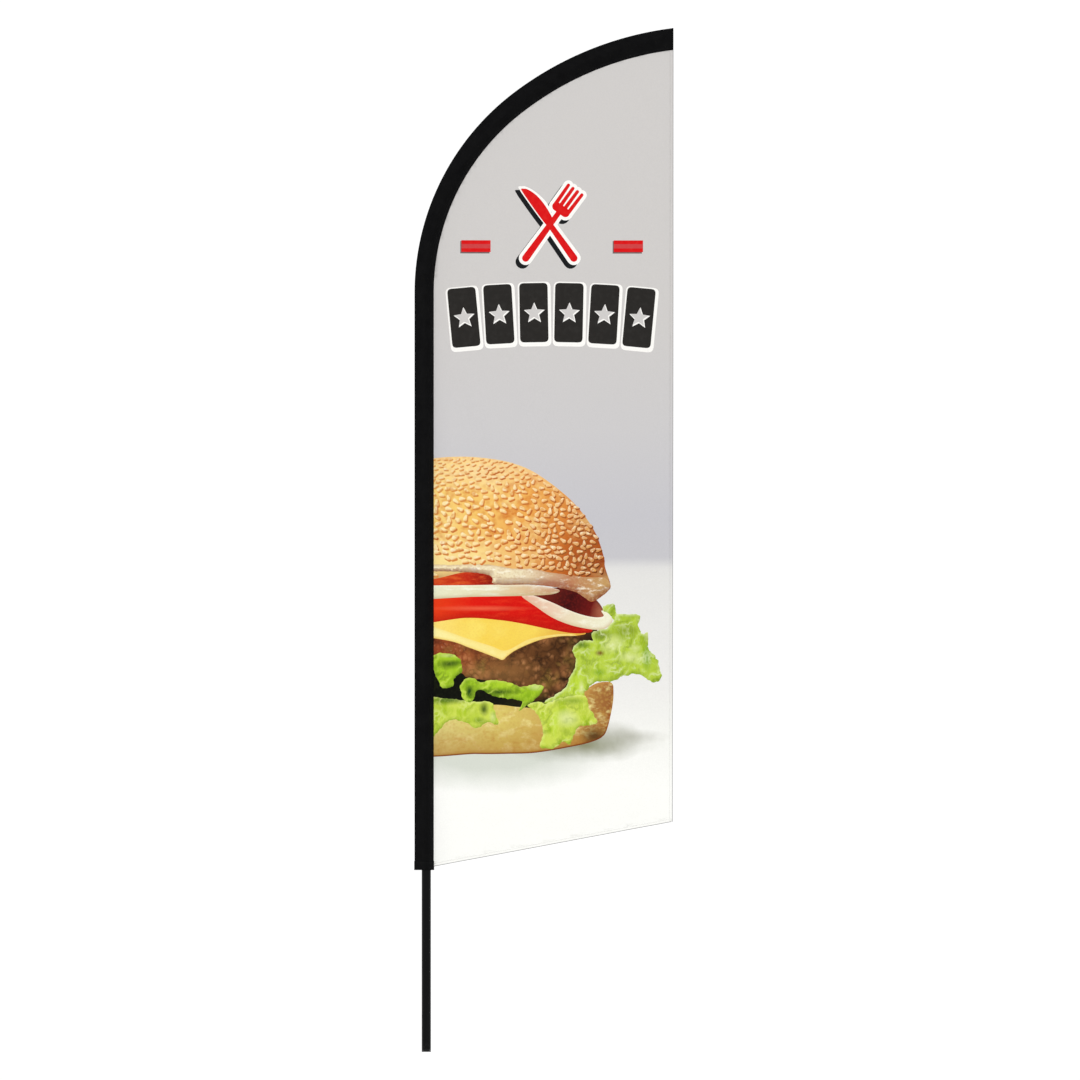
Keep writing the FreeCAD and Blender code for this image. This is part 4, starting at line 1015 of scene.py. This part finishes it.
def panel_points(outline):
    """Points inside the panel: a wide grid, and a finer one where the food is."""
    wide = np.array([(x, z) for x in np.arange(20, 676, 15) for z in np.arange(510, 2750, 15)])
    fine = np.array([(x, z) for x in np.arange(20, 640, 9) for z in np.arange(800, 1640, 9)])
    food = np.zeros(len(fine), bool)
    for shape in (CROWN, HEEL, LEAF_RIGHT, LEAF_FRONT, LEAF_LOW, TOMATO, CHEESE, PATTY, GAP):
        food |= inside(fine, smooth_outline(shape))
    return [Vector(p) for p in wide[inside(wide, outline)]] + [Vector(p) for p in fine[food]]


def cut_shapes(layers, outline):
    """The flat panel cut along every shape's line.

    Gives its points, and its triangles, each with the number of the topmost layer over it."""
    coords, rims = [], []
    for _, line in layers:
        rims.append(list(range(len(coords), len(coords) + len(line))))
        coords += [Vector(p) for p in line]
    coords += panel_points(outline)
    flat, _, triangles, _, _, owners = delaunay_2d_cdt(coords, [], rims, 1, 0.02, True)
    kept = [(tri, max(own)) for tri, own in zip(triangles, owners) if own and min(own) == 0]
    return np.array([tuple(p) for p in flat]), kept


def thicken(kept, count):
    """Faces of both sides and of the rim of a sheet, each with its layer.

    The rear's points follow the front's in the list, count places on."""
    faces, owners, edges = [], [], {}
    for (a, b, c), own in kept:
        faces += [(a, b, c), (c + count, b + count, a + count)]
        owners += [own] * 2
        edges.update({edge: own for edge in ((a, b), (b, c), (c, a))})
    for (a, b), own in edges.items():
        if (b, a) not in edges:
            faces.append((b, a, a + count, b + count))
            owners.append(own)
    return faces, owners


def mark_corners(mesh, where, faces, owners, layers):
    """Keeps, at every corner, how far it is inside its shape's line and which way that faces."""
    corners = np.array([i for face in faces for i in face])
    owner = np.repeat(owners, [len(face) for face in faces])
    inset, facing = np.zeros(len(corners)), np.zeros(len(corners))
    for own in np.unique(owner):
        if own:
            mine = owner == own
            inset[mine], facing[mine] = distance_to(where[corners[mine]], layers[own][1])
    for name, values in (("inset", inset), ("facing", facing)):
        mesh.attributes.new(name, "FLOAT", "CORNER").data.foreach_set("value", values)


def make_panel(field):
    """The printed panel: one sheet, cut into the print's shapes, each with its own paint."""
    outline = panel_outline(12.0, HEM_WIDTH * 0.4)
    layers = [("backdrop", outline)] + print_layers()
    layers = [(paint, anticlockwise(line)) for paint, line in layers]
    flat, kept = cut_shapes(layers, outline)
    hung, count = hang(flat, field), len(flat)
    points = np.concatenate([hung - (0, CLOTH / 2, 0), hung + (0, CLOTH / 2, 0)])
    faces, owners = thicken(kept, count)
    used = sorted({i for face in faces for i in face})
    new = {old: i for i, old in enumerate(used)}
    faces = [tuple(new[i] for i in face) for face in faces]
    paints = make_paints()
    panel = make_piece("printed_panel", points[used], faces, paints.values())
    names = list(paints)
    slots = [names.index(layers[own][0]) for own in owners]
    panel.data.polygons.foreach_set("material_index", slots)
    mark_corners(panel.data, flat[np.array(used) % count], faces, owners, layers)
    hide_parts("flag_panel")
    return panel


# --- hems and stitches ----------------------------------------------------------------------------

def paint_hem():
    """The panel's own cloth folded over, greyer in a thin line along its folded outer edge."""
    shader = Shader("hem")
    line = shader.span(shader.attribute("rim"), 0.80, 0.92)
    colour = shader.mix(line, backdrop_colour(shader), (128, 127, 126))
    shader.bump(shader.noise(130, 2), 0.0004)
    return printed(shader, colour)


def paint_thread(name, colour):
    """Twisted polyester thread, with painted shade in the grooves between its plies."""
    shader = Shader(name)
    ply = shader.wave(shader.plus(shader.axes["X"], shader.axes["Z"]), 0.0006)
    shader.bump(ply, 0.00008)
    # painted shade: the ply's low parts take a darker copy of the thread's colour, following the same
    # wave as its relief
    dark = tuple(int(c * 0.7) for c in colour)
    return shader.finish(shader.mix(shader.span(ply, -1, 1), dark, colour),
                         shader.span(shader.noise(700), 0.3, 0.7, 0.45, 0.6),
                         Specular_IOR_Level=0.3)


def hem_section():
    """Across the hem from its inner edge to its folded outer edge and back, as (along, y)."""
    half = HEM_THICKNESS / 2
    bend = [(HEM_WIDTH - half + half * math.cos(a), half * math.sin(a))
            for a in np.radians(np.linspace(-90, 90, 7))]
    front = [(x, -half) for x in (0.3, 2.5, 5.0, 7.0)]
    rear = [(x, half) for x in (7.0, 5.0, 2.5, 0.3)]
    return [(0.0, -half * 0.5)] + front + bend + rear + [(0.0, half * 0.5)]


def make_hem(name, start, end, inward, node, field, material):
    """A folded hem along a straight edge of the panel, from start to end."""
    start, end, inward = Vector(start), Vector(end), Vector(inward)
    section = hem_section()
    steps = int((end - start).length / 8)
    points, rims = [], []
    for s in np.linspace(0, 1, steps):
        base = start.lerp(end, s)
        for along, y in section:
            across = base + inward * (HEM_WIDTH - along)
            x, lift, z = hang([tuple(across)], field)[0]
            wrinkle = 0.18 * noise.noise((x / 9, z / 9, y)) * (1 if abs(y) > 0.3 else 0)
            points.append((x, lift + y + wrinkle, z))
            rims.append(along / HEM_WIDTH)
    faces = closed_rings(steps, len(section))
    if (end - start).cross(inward) < 0:
        faces = [face[::-1] for face in faces]
    hem = make_piece(name, points, faces, [material])
    hem.data.attributes.new("rim", "FLOAT", "POINT").data.foreach_set("value", rims)
    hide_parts(node)
    return hem


def make_hems(field):
    """The trailing and bottom hems, and the pale thread that sews them on both sides."""
    material = paint_hem()
    right, low = FLAG_RIGHT, SEAM[0] + 0.3
    top = bent_edge(SEAM, end_turn(SEAM, right - HEM_WIDTH))[1] + 1.0
    slope = Vector((right - low, bottom_edge(right) - bottom_edge(low))).normalized()
    up = Vector((-slope.y, slope.x))
    trailing = make_hem("trailing_edge_hem", (right, bottom_edge(right)), (right, top), (-1, 0),
                        "trailing_hem", field, material)
    bottom = make_hem("bottom_edge_hem", (low, bottom_edge(low)), (right - 1, bottom_edge(right - 1)),
                      up, "bottom_hem", field, material)
    rows = []
    corner = Vector((right, bottom_edge(right)))
    for a, b, inward in ((corner + Vector((0, 6)), Vector((right, top - 4)), Vector((-1, 0))),
                         (Vector((low + 3, bottom_edge(low + 3))), corner - slope * 7, up)):
        count = int((b - a).length / 4)
        flat = [a.lerp(b, s) + inward * (HEM_WIDTH - 2.2) for s in np.linspace(0, 1, count)]
        for side in (-1, 1):
            path = hang([tuple(p) for p in flat], field) + (0, side * HEM_THICKNESS / 2, 0)
            rows.append(stitch_row(path, [(0, side, 0)] * count))
    thread = make_stitches("hem_stitches", rows, paint_thread("pale thread", (226, 225, 222)))
    return [trailing, bottom, thread]


# --- the sleeve -----------------------------------------------------------------------------------

WALL = 0.7  # the cloth's thickness
SECTION_POINTS = 30  # points on the front half of the sleeve's outline
FOLD_TIP, SEAM_TIP = 1.5, 1.5  # radii of the fold's tip and of the seam's lip
LOOSE_RADIUS = 15.3  # the radius that the straight sleeve takes round the pole
ROD_FROM_FOLD = 32.2  # the rod's distance from the fold where the curve starts
CURVE_LENGTH = 1065  # along the curved sleeve
BAND_HEIGHTS = (497.2, 497.7, 499, 504, 509, 514, 519, 521.3, 521.9)  # the mouth band's rings
BAND_STITCHES = (517.5, 514.0)


def section_outline(width, rod, radius):
    """The cloth's outline drawn tight round the fold's tip, the pole and the seam's lip.

    Points are (distance from the fold, y), from the fold along the front to the seam and back."""
    discs = ((FOLD_TIP, FOLD_TIP), (rod, radius), (width - SEAM_TIP, SEAM_TIP))
    half = []
    for angle in np.radians(np.linspace(180, 360, 241)):
        n = (math.cos(angle), math.sin(angle))
        centre, size = max(discs, key=lambda d: d[0] * n[0] + d[1])
        half.append((centre + size * n[0], size * n[1]))
    half = np.array(half)
    length = np.concatenate([[0], np.cumsum(np.linalg.norm(np.diff(half, axis=0), axis=1))])
    even = np.linspace(0, length[-1], SECTION_POINTS)
    front = np.stack([np.interp(even, length, half[:, k]) for k in (0, 1)], 1)
    rear = front[-2:0:-1] * (1, -1)
    return np.concatenate([front, rear])


def sleeve_station(s):
    """The sleeve at s: height below the bend, or 0 to 1 along the curve.

    Gives the fold's place, the direction across to the seam, the width, the rod's distance from
    the fold, and the radius that the cloth takes round it."""
    if s[0] == "straight":
        return Vector((FOLD[0], s[1])), Vector((1, 0)), SEAM[0] - FOLD[0], -FOLD[0], LOOSE_RADIUS
    t = s[1]
    fold = bent_edge(FOLD, t * end_turn(FOLD, FLAG_RIGHT))
    seam = bent_edge(SEAM, t * end_turn(SEAM, FLAG_RIGHT))
    across = seam - fold
    width = across.length
    rod = ROD_FROM_FOLD - 1.9 * min(t / 0.65, 1) ** 2 - 9.0 * max(0.0, (t - 0.6) / 0.4) ** 1.4
    radius = LOOSE_RADIUS - 6.8 * min(1.0, t / 0.9) ** 0.8
    return fold, across / width, width, rod, radius


def crease(a, side, run, width, rod, radius, curved):
    """How far the sleeve's cloth stands off its smooth outline, a millimetres from the fold.

    It is slack away from the pole, puckered along the seam, and gathered inside the curve."""
    loose = min(1.0, max(0.0, (abs(a - rod) - radius * 0.6) / 12))
    slack = noise.noise((run / 60, a / 40, side * 3.0))
    slack += 0.5 * noise.noise((run / 22, a / 30, side))
    seam_side = max(0.0, 1 - (width - a) / 16)
    inner = max(0.0, 1 - (width - a) / 26) * curved
    pucker = noise.noise((run / 6.5, side * 5.0, 0.0))
    gather = noise.noise((run / 13, side * 7.0, 2.0))
    return (1.1 * slack * (0.25 + 0.75 * loose) + 0.45 * seam_side * pucker
            + 0.8 * inner * gather)


def sleeve_ring(s, grow=0.0, inward=0.0, puckers=True):
    """One ring of the sleeve's cloth, with its creases, moved inward by a cloth's thickness."""
    fold, across, width, rod, radius = sleeve_station(s)
    line = section_outline(width, rod, radius)
    ahead = np.roll(line, -1, 0) - np.roll(line, 1, 0)
    normal = np.stack([ahead[:, 1], -ahead[:, 0]], 1)
    normal /= np.maximum(np.linalg.norm(normal, axis=1, keepdims=True), 1e-9)
    curved = s[0] == "curved"
    run = BEND_HEIGHT + CURVE_LENGTH * s[1] if curved else s[1]
    ring = []
    for (a, y), n in zip(line, normal):
        tips = max(0.0, min(1.0, a / 5, (width - a) / 5))
        off = crease(a, 1 if y > 0 else -1, run, width, rod, radius, curved) * tips
        off = max(off if puckers else 0.25 * off, -0.9)
        out = grow + off - inward * (1.0 if tips > 0.3 else 0.85)
        p = fold + across * (a + n[0] * out)
        ring.append((p.x, y + n[1] * out, p.y))
    return ring


def make_tube(name, stations, grow, material, nodes, puckers=True):
    """A tube of cloth with an inside and an outside, joined by a rounded fold at each end."""
    outer = [sleeve_ring(s, grow, 0.0, puckers) for s in stations]
    inner = [sleeve_ring(s, grow, WALL, puckers) for s in stations]
    around = len(outer[0])
    rings = outer + inner[::-1]
    points = [p for ring in rings for p in ring]
    faces = ring_faces(len(rings), around)
    last = (len(rings) - 1) * around
    faces += [(last + i, last + (i + 1) % around, (i + 1) % around, i) for i in range(around)]
    piece = make_piece(name, points, [face[::-1] for face in faces], [material])
    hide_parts(*nodes)
    return piece


def straight_run(low, high, step):
    """Stations up the straight sleeve, about step millimetres apart."""
    return [("straight", z) for z in np.linspace(low, high, int((high - low) / step) + 2)]


def curved_run(steps, last=1.0):
    """Stations along the curved sleeve, from just after the bend's start."""
    return [("curved", t) for t in np.linspace(0, last, steps)[1:]]


def paint_sleeve(name="black sleeve cloth", pitch=0.0009):
    """Dense black polyester, slightly shiny on its creases."""
    shader = Shader(name)
    shader.bump(shader.ribs(pitch, pitch * 1.2), 0.00008)
    shader.bump(shader.noise(60, 3), 0.0006)
    colour = shader.mix(shader.span(shader.noise(35, 4, 0.6), 0.3, 0.7), (4, 4, 5), (11, 11, 12))
    lint = shader.span(shader.cells(420), 0.08, 0.03, 0.0, 0.2)
    colour = shader.mix(lint, colour, (46, 46, 48))
    return shader.finish(colour, shader.span(shader.noise(240), 0.3, 0.7, 0.72, 0.88),
                         Specular_IOR_Level=0.08, Sheen_Weight=0.012, Sheen_Roughness=0.4)


def sleeve_stitches(stations, from_seam_mm, material):
    """Rows of stitches on the sleeve's front and rear, at distances from the seam."""
    rows = []
    for offset in from_seam_mm:
        for side in (-1, 1):
            path, normals = [], []
            for s in stations:
                fold, across, width, rod, radius = sleeve_station(s)
                line = section_outline(width, rod, radius)
                half = line[:SECTION_POINTS]
                y = -np.interp(width - offset, half[:, 0], half[:, 1]) * side
                p = fold + across * (width - offset)
                path.append((p.x, y + side * 0.35, p.y))
                normals.append((across.x * 0.35, side, across.y * 0.35))
            rows.append(stitch_row(path, normals, 0.6, 3.0, 0.3))
    return make_stitches("seam_stitches", rows, material)


def make_hem_band(material, thread):
    """The folded band at the sleeve's mouth, with two rows of stitches round it."""
    stations = [("straight", z) for z in BAND_HEIGHTS]
    band = make_tube("sleeve_mouth_band", stations, 0.9, material, ["sleeve_hem_band"],
                     puckers=False)
    rows = []
    for height in BAND_STITCHES:
        ring = [Vector(p) for p in sleeve_ring(("straight", height), 1.0, 0.0, False)]
        loop = ring + ring[:1]
        length = np.concatenate([[0], np.cumsum([(b - a).length for a, b in zip(loop, loop[1:])])])
        at = np.arange(0, length[-1], 4.0)
        path = [Vector([np.interp(d, length, [p[k] for p in loop]) for k in range(3)]) for d in at]
        for side in (-1, 1):
            face = sorted((p for p in path if p.y * side > 3.0), key=lambda p: p.x)
            rows.append(stitch_row(face, [(p.x * 0.04, side, 0) for p in face]))
    return band, make_stitches("mouth_stitches", rows, thread)


def make_closure(material, thread):
    """The sewn patch that shuts the sleeve at its tip, quilted by its stitching."""
    fold, across, width, rod, radius = sleeve_station(("curved", 1.0))
    line = section_outline(width, rod, radius)
    out = Vector((across.y, -across.x))
    out = out if out.x > 0 else -out
    middle = np.array([width / 2, 0.0])
    points = []
    shells = [(1.0, -2.6), (1.0, -1.3), (0.97, -0.4), (0.85, 0.0), (0.6, -0.1), (0.3, 0.0)]
    for share, depth in shells:
        for a, y in (line - middle) * share + middle:
            quilt = 0.25 * math.sin(a / 2.2) * (1 - share ** 4)
            p = fold + across * a + out * (depth - 0.5 + quilt)
            points.append((min(p.x, FLAG_RIGHT + 1.5), y, p.y))
    faces = closed_rings(len(shells), len(line))
    patch = make_piece("sleeve_tip_patch", points, faces, [material])
    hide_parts("sleeve_end_closure")
    path = []
    for a, y in (np.concatenate([line, line[:1]]) - middle) * 0.82 + middle:
        p = fold + across * a + out * -0.3
        path.append(Vector((p.x, y, p.y)))
    fine = []
    for a, b in zip(path, path[1:]):
        fine += [a.lerp(b, s) for s in np.arange(0, 1, 3.6 / max((b - a).length, 3.6))]
    row = stitch_row(fine, [(out.x, 0, out.y)] * len(fine), 0.6, 2.6)
    return patch, make_stitches("tip_stitches", [row], thread)


def make_sleeve():
    """The sleeve, and what is sewn to it: seam, mouth band, tip patch and their threads."""
    material = paint_sleeve()
    thread = paint_thread("black thread", (26, 26, 28))
    stations = straight_run(503, BEND_HEIGHT, 9) + curved_run(118)
    sleeve = make_tube("black_sleeve", stations, 0.0, material, ["pole_sleeve", "curved_sleeve"])
    rows = straight_run(524, BEND_HEIGHT, 4) + curved_run(264, last=0.994)
    seam = sleeve_stitches(rows, (5.0, 8.0), thread)
    band, mouth = make_hem_band(paint_sleeve("black hem cloth", 0.0012), thread)
    patch, tip = make_closure(paint_sleeve("black patch cloth", 0.0015), thread)
    return sleeve, [seam, band, mouth, patch, tip]


# --- the tension strap ----------------------------------------------------------------------------

STRAP_LOW, STRAP_HIGH = 385.0, 539.5
STRAP_HALF, STRAP_THICK = 8.0, 1.5


def paint_webbing():
    """Polypropylene webbing with a herringbone weave, painted darker in its grooves and lighter on
    its ridges.
    """
    shader = Shader("webbing")
    zigzag = shader.maths("FRACT", shader.times(shader.axes["X"], 250))
    zigzag = shader.maths("ABSOLUTE", shader.minus(zigzag, 0.5))
    slant = shader.plus(shader.times(zigzag, 0.004), shader.axes["Z"])
    weave = shader.wave(slant, 0.0016)
    shader.bump(weave, 0.00025)
    shader.bump(shader.noise(900, 2), 0.00006)
    # painted light and shade: the weave's ridges lighter and its grooves darker, following the same
    # wave as its relief
    colour = shader.mix(shader.span(weave, -1, 1), (14, 14, 15), (32, 32, 34))
    fuzz = shader.span(shader.maths("ABSOLUTE", shader.axes["X"]), 0.0068, 0.008, 0.0, 0.5)
    return shader.finish(shader.mix(fuzz, colour, (52, 52, 54)),
                         shader.span(shader.noise(300), 0.3, 0.7, 0.55, 0.75),
                         Specular_IOR_Level=0.25)


def strap_line(z):
    """How far the strap's middle is behind the pole's axis at a height."""
    lift = 17.0 + 0.45 * math.exp(-((z - 492) / 10) ** 2)
    return lift + (0.25 * math.sin((z - STRAP_LOW) / 9) if 424 < z < 488 else 0.0)


def make_strap():
    """The webbing sewn to the sleeve's rear, hanging down to the stud."""
    rows = np.arange(STRAP_LOW, STRAP_HIGH + 0.1, 1.5)
    across = np.linspace(-1, 1, 13)
    points = []
    for z in rows:
        for side in (1, -1):
            for u in across * side:
                edge = 1 - 0.35 * abs(u) ** 8
                ends = min(1.0, 0.4 + min(z - STRAP_LOW, STRAP_HIGH - z) / 1.2)
                y = strap_line(z) + side * STRAP_THICK / 2 * edge * ends
                y += 0.06 * noise.noise((u * 3, z / 5, 0.0))
                points.append((u * (STRAP_HALF - 0.1), y, z))
    faces = closed_rings(len(rows), 2 * len(across))
    strap = make_piece("tension_webbing", points, faces, [paint_webbing()], body=None)
    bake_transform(strap)
    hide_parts("tension_strap", "strap_anchor")
    return strap


def make_strap_stitches():
    """A box with a cross, sewn through the strap's upper end."""
    low, high, side = 503.0, 536.0, 5.8
    corners = [(-side, low), (side, low), (side, high), (-side, high), (-side, low), (side, high),
               (side, low), (-side, high)]
    path = []
    for a, b in zip(corners, corners[1:]):
        a, b = Vector(a), Vector(b)
        for s in np.arange(0, 1, 2.6 / (b - a).length):
            p = a.lerp(b, s)
            path.append((p.x, strap_line(p.y) + STRAP_THICK / 2, p.y))
    row = stitch_row(path, [(0, 1, 0)] * len(path), 0.6, 2.2)
    return make_stitches("strap_stitches", [row], paint_thread("grey thread", (120, 120, 122)))


# --- the pole's and fittings' finishes ------------------------------------------------------------

def paint_pole():
    """Black powder-coated aluminium tube with fine rubbing marks."""
    shader = Shader("black tube")
    shader.bump(shader.noise(900, 2), 0.00003)
    rubbed = shader.noise(55, 5, 0.6, (1, 1, 0.06))
    colour = shader.mix(shader.span(rubbed, 0.55, 0.8, 0.0, 0.5), (4, 4, 5), (20, 20, 22))
    foot = shader.span(shader.axes["Z"], 0.028, 0.0, 0.0, 1.0)
    scuff = shader.span(shader.noise(520, 4, 0.6, (1, 1, 0.35)), 0.56, 0.68, 0.0, 0.5)
    colour = shader.mix(shader.times(foot, scuff), colour, (84, 84, 86))
    return shader.finish(colour, shader.span(rubbed, 0.3, 0.75, 0.34, 0.56),
                         Specular_IOR_Level=0.1)


def paint_bare():
    """Turned aluminium with tool marks round it."""
    shader = Shader("turned aluminium")
    rings = shader.noise(40, 3, 0.5, (1, 1, 40))
    shader.bump(rings, 0.00004)
    colour = shader.mix(shader.span(rings, 0.3, 0.7), (186, 188, 190), (214, 215, 217))
    return shader.finish(colour, shader.span(rings, 0.3, 0.7, 0.24, 0.4), Metallic=1.0)


def paint_steel():
    """Zinc-plated steel, brushed along its length and a little stained."""
    shader = Shader("plated steel")
    brushed = shader.noise(220, 3, 0.5, (1, 1, 0.04))
    shader.bump(brushed, 0.00003)
    stain = shader.span(shader.noise(45, 4, 0.6), 0.45, 0.75)
    colour = shader.mix(shader.span(brushed, 0.3, 0.7), (176, 178, 180), (206, 207, 208))
    colour = shader.mix(shader.times(stain, 0.35), colour, (140, 136, 124))
    return shader.finish(colour, shader.span(stain, 0, 1, 0.28, 0.46), Metallic=1.0)


def paint_black_steel():
    """Black-oxide steel, rubbed through to bare metal in fine marks."""
    shader = Shader("black steel")
    rubbed = shader.noise(180, 5, 0.65, (1, 1, 0.1))
    shader.bump(rubbed, 0.00003)
    worn = shader.span(rubbed, 0.66, 0.8, 0.0, 0.6)
    colour = shader.mix(worn, (10, 10, 11), (96, 96, 98))
    return shader.finish(colour, shader.span(rubbed, 0.3, 0.7, 0.5, 0.36),
                         Specular_IOR_Level=0.2)


def paint_moulded(name, dark, light, grain=520, gloss=(0.42, 0.58)):
    """Moulded plastic with a fine spark-eroded grain."""
    shader = Shader(name)
    shader.bump(shader.noise(grain, 3), 0.00008)
    shader.bump(shader.cells(grain * 2), 0.00004)
    tone = shader.noise(70, 3)
    return shader.finish(shader.mix(shader.span(tone, 0.3, 0.7), dark, light),
                         shader.span(tone, 0.3, 0.7, *gloss), Specular_IOR_Level=0.4)


def paint_rod():
    """Pultruded fibreglass: long fibres under a thin resin skin."""
    shader = Shader("fibreglass rod")
    fibres = shader.noise(700, 3, 0.6, (1, 1, 0.25))
    shader.bump(fibres, 0.00005)
    colour = shader.mix(shader.span(fibres, 0.35, 0.7), (34, 34, 34), (78, 76, 70))
    return shader.finish(colour, shader.span(fibres, 0.3, 0.7, 0.26, 0.42), Coat_Weight=0.4,
                         Coat_Roughness=0.15)


def paint_eyelet():
    """Nickel-plated brass, worn warmer on its rim."""
    shader = Shader("eyelet")
    marks = shader.noise(600, 3, 0.6)
    shader.bump(marks, 0.00002)
    warm = shader.span(shader.noise(160, 3), 0.5, 0.72, 0.0, 0.6)
    colour = shader.mix(warm, (206, 203, 196), (196, 172, 118))
    return shader.finish(colour, shader.span(marks, 0.3, 0.7, 0.16, 0.32), Metallic=1.0)


def finish_cad_parts():
    """Better finishes for the CAD parts that stay."""
    finishes = {
        "pole_metal": paint_pole(), "bare_metal": paint_bare(), "steel": paint_steel(),
        "black_steel": paint_black_steel(),
        "nylon": paint_moulded("black nylon", (9, 9, 9), (17, 17, 18), 300, (0.5, 0.64)),
        "black_plastic": paint_moulded("black plastic", (16, 16, 17), (30, 30, 31)),
        "fibreglass": paint_rod(), "eyelet_metal": paint_eyelet(),
    }
    for part in frame["record"]["subparts"]:
        material = finishes.get(part["material_slot"])
        mesh = frame["nodes"][part["node"]].data
        if material:
            for i in range(len(mesh.materials)):
                mesh.materials[i] = material


def make_leaf_springs():
    """Leaf springs in the buttons' CAD shape, whose front legs go in with the buttons."""
    for level in ("lower", "upper"):
        node = f"{level}_button_spring"
        spring = add_object(f"{level}_leaf_spring", frame["nodes"][node].data.copy())
        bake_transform(spring)
        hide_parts(node)


# --- the studio -----------------------------------------------------------------------------------

VIEW_SIZE = 2.954  # metres across the picture
VIEW_MIDDLE = (0.311, 1.400)  # what its middle looks at, as (x, z) in metres


def make_floor():
    """A pale matt floor, a little uneven, that the pole's foot stands on."""
    shader = Shader("studio floor")
    shader.bump(shader.noise(400, 2), 0.0001)
    tone = shader.mix(shader.span(shader.noise(300, 2), 0.3, 0.7), (236, 236, 235), (239, 239, 238))
    material = shader.finish(tone, shader.span(shader.noise(200), 0.3, 0.7, 0.75, 0.85),
                             Specular_IOR_Level=0.1)
    rings, around, points = 14, 48, []
    for r in range(rings):
        radius = 30 * (r / (rings - 1)) ** 2 + 0.02
        points += [(radius * math.cos(a), radius * math.sin(a), -0.0008)
                   for a in np.linspace(0, 2 * math.pi, around, endpoint=False)]
    mesh = bpy.data.meshes.new("floor")
    mesh.from_pydata(points, [], ring_faces(rings, around) + [tuple(range(around))[::-1]])
    mesh.materials.append(material)
    add_object("floor", mesh)


def add_light(name, place, aim, size, power):
    """A round lamp, size metres across, that shines from a place at an aim."""
    data = bpy.data.lights.new(name, "AREA")
    data.shape, data.size, data.energy = "DISK", size, power
    light = add_object(name, data)
    light.location = place
    light.rotation_euler = (Vector(aim) - Vector(place)).to_track_quat("-Z", "Y").to_euler()


def make_studio():
    """White surroundings, two lights, the floor and a straight-on camera."""
    scene = bpy.context.scene
    scene.view_settings.view_transform = "Standard"
    scene.view_settings.look = "None"
    world = bpy.data.worlds.new("studio")
    world.use_nodes = True
    background = world.node_tree.nodes["Background"]
    background.inputs["Color"].default_value = (1, 1, 1, 1)
    background.inputs["Strength"].default_value = 1.05
    scene.world = world
    add_light("key", (-3.2, -4.5, 4.6), (0.3, 0, 1.4), 2.2, 42)
    add_light("rim", (3.0, 3.6, 3.4), (0.3, 0, 1.5), 2.0, 30)
    make_floor()
    data = bpy.data.cameras.new("camera")
    data.type = "ORTHO"
    data.ortho_scale = VIEW_SIZE
    data.clip_end = 60
    camera = add_object("camera", data)
    camera.location = (VIEW_MIDDLE[0], -9.0, VIEW_MIDDLE[1])
    camera.rotation_euler = (math.radians(90), 0, 0)
    scene.camera = camera


# --- everything -----------------------------------------------------------------------------------

finish_cad_parts()
make_leaf_springs()
cloth_field = simulate_cloth()
panel = make_panel(cloth_field)
hems = make_hems(cloth_field)
sleeve, sleeve_pieces = make_sleeve()
strap = make_strap()
strap_thread = make_strap_stitches()
make_studio()
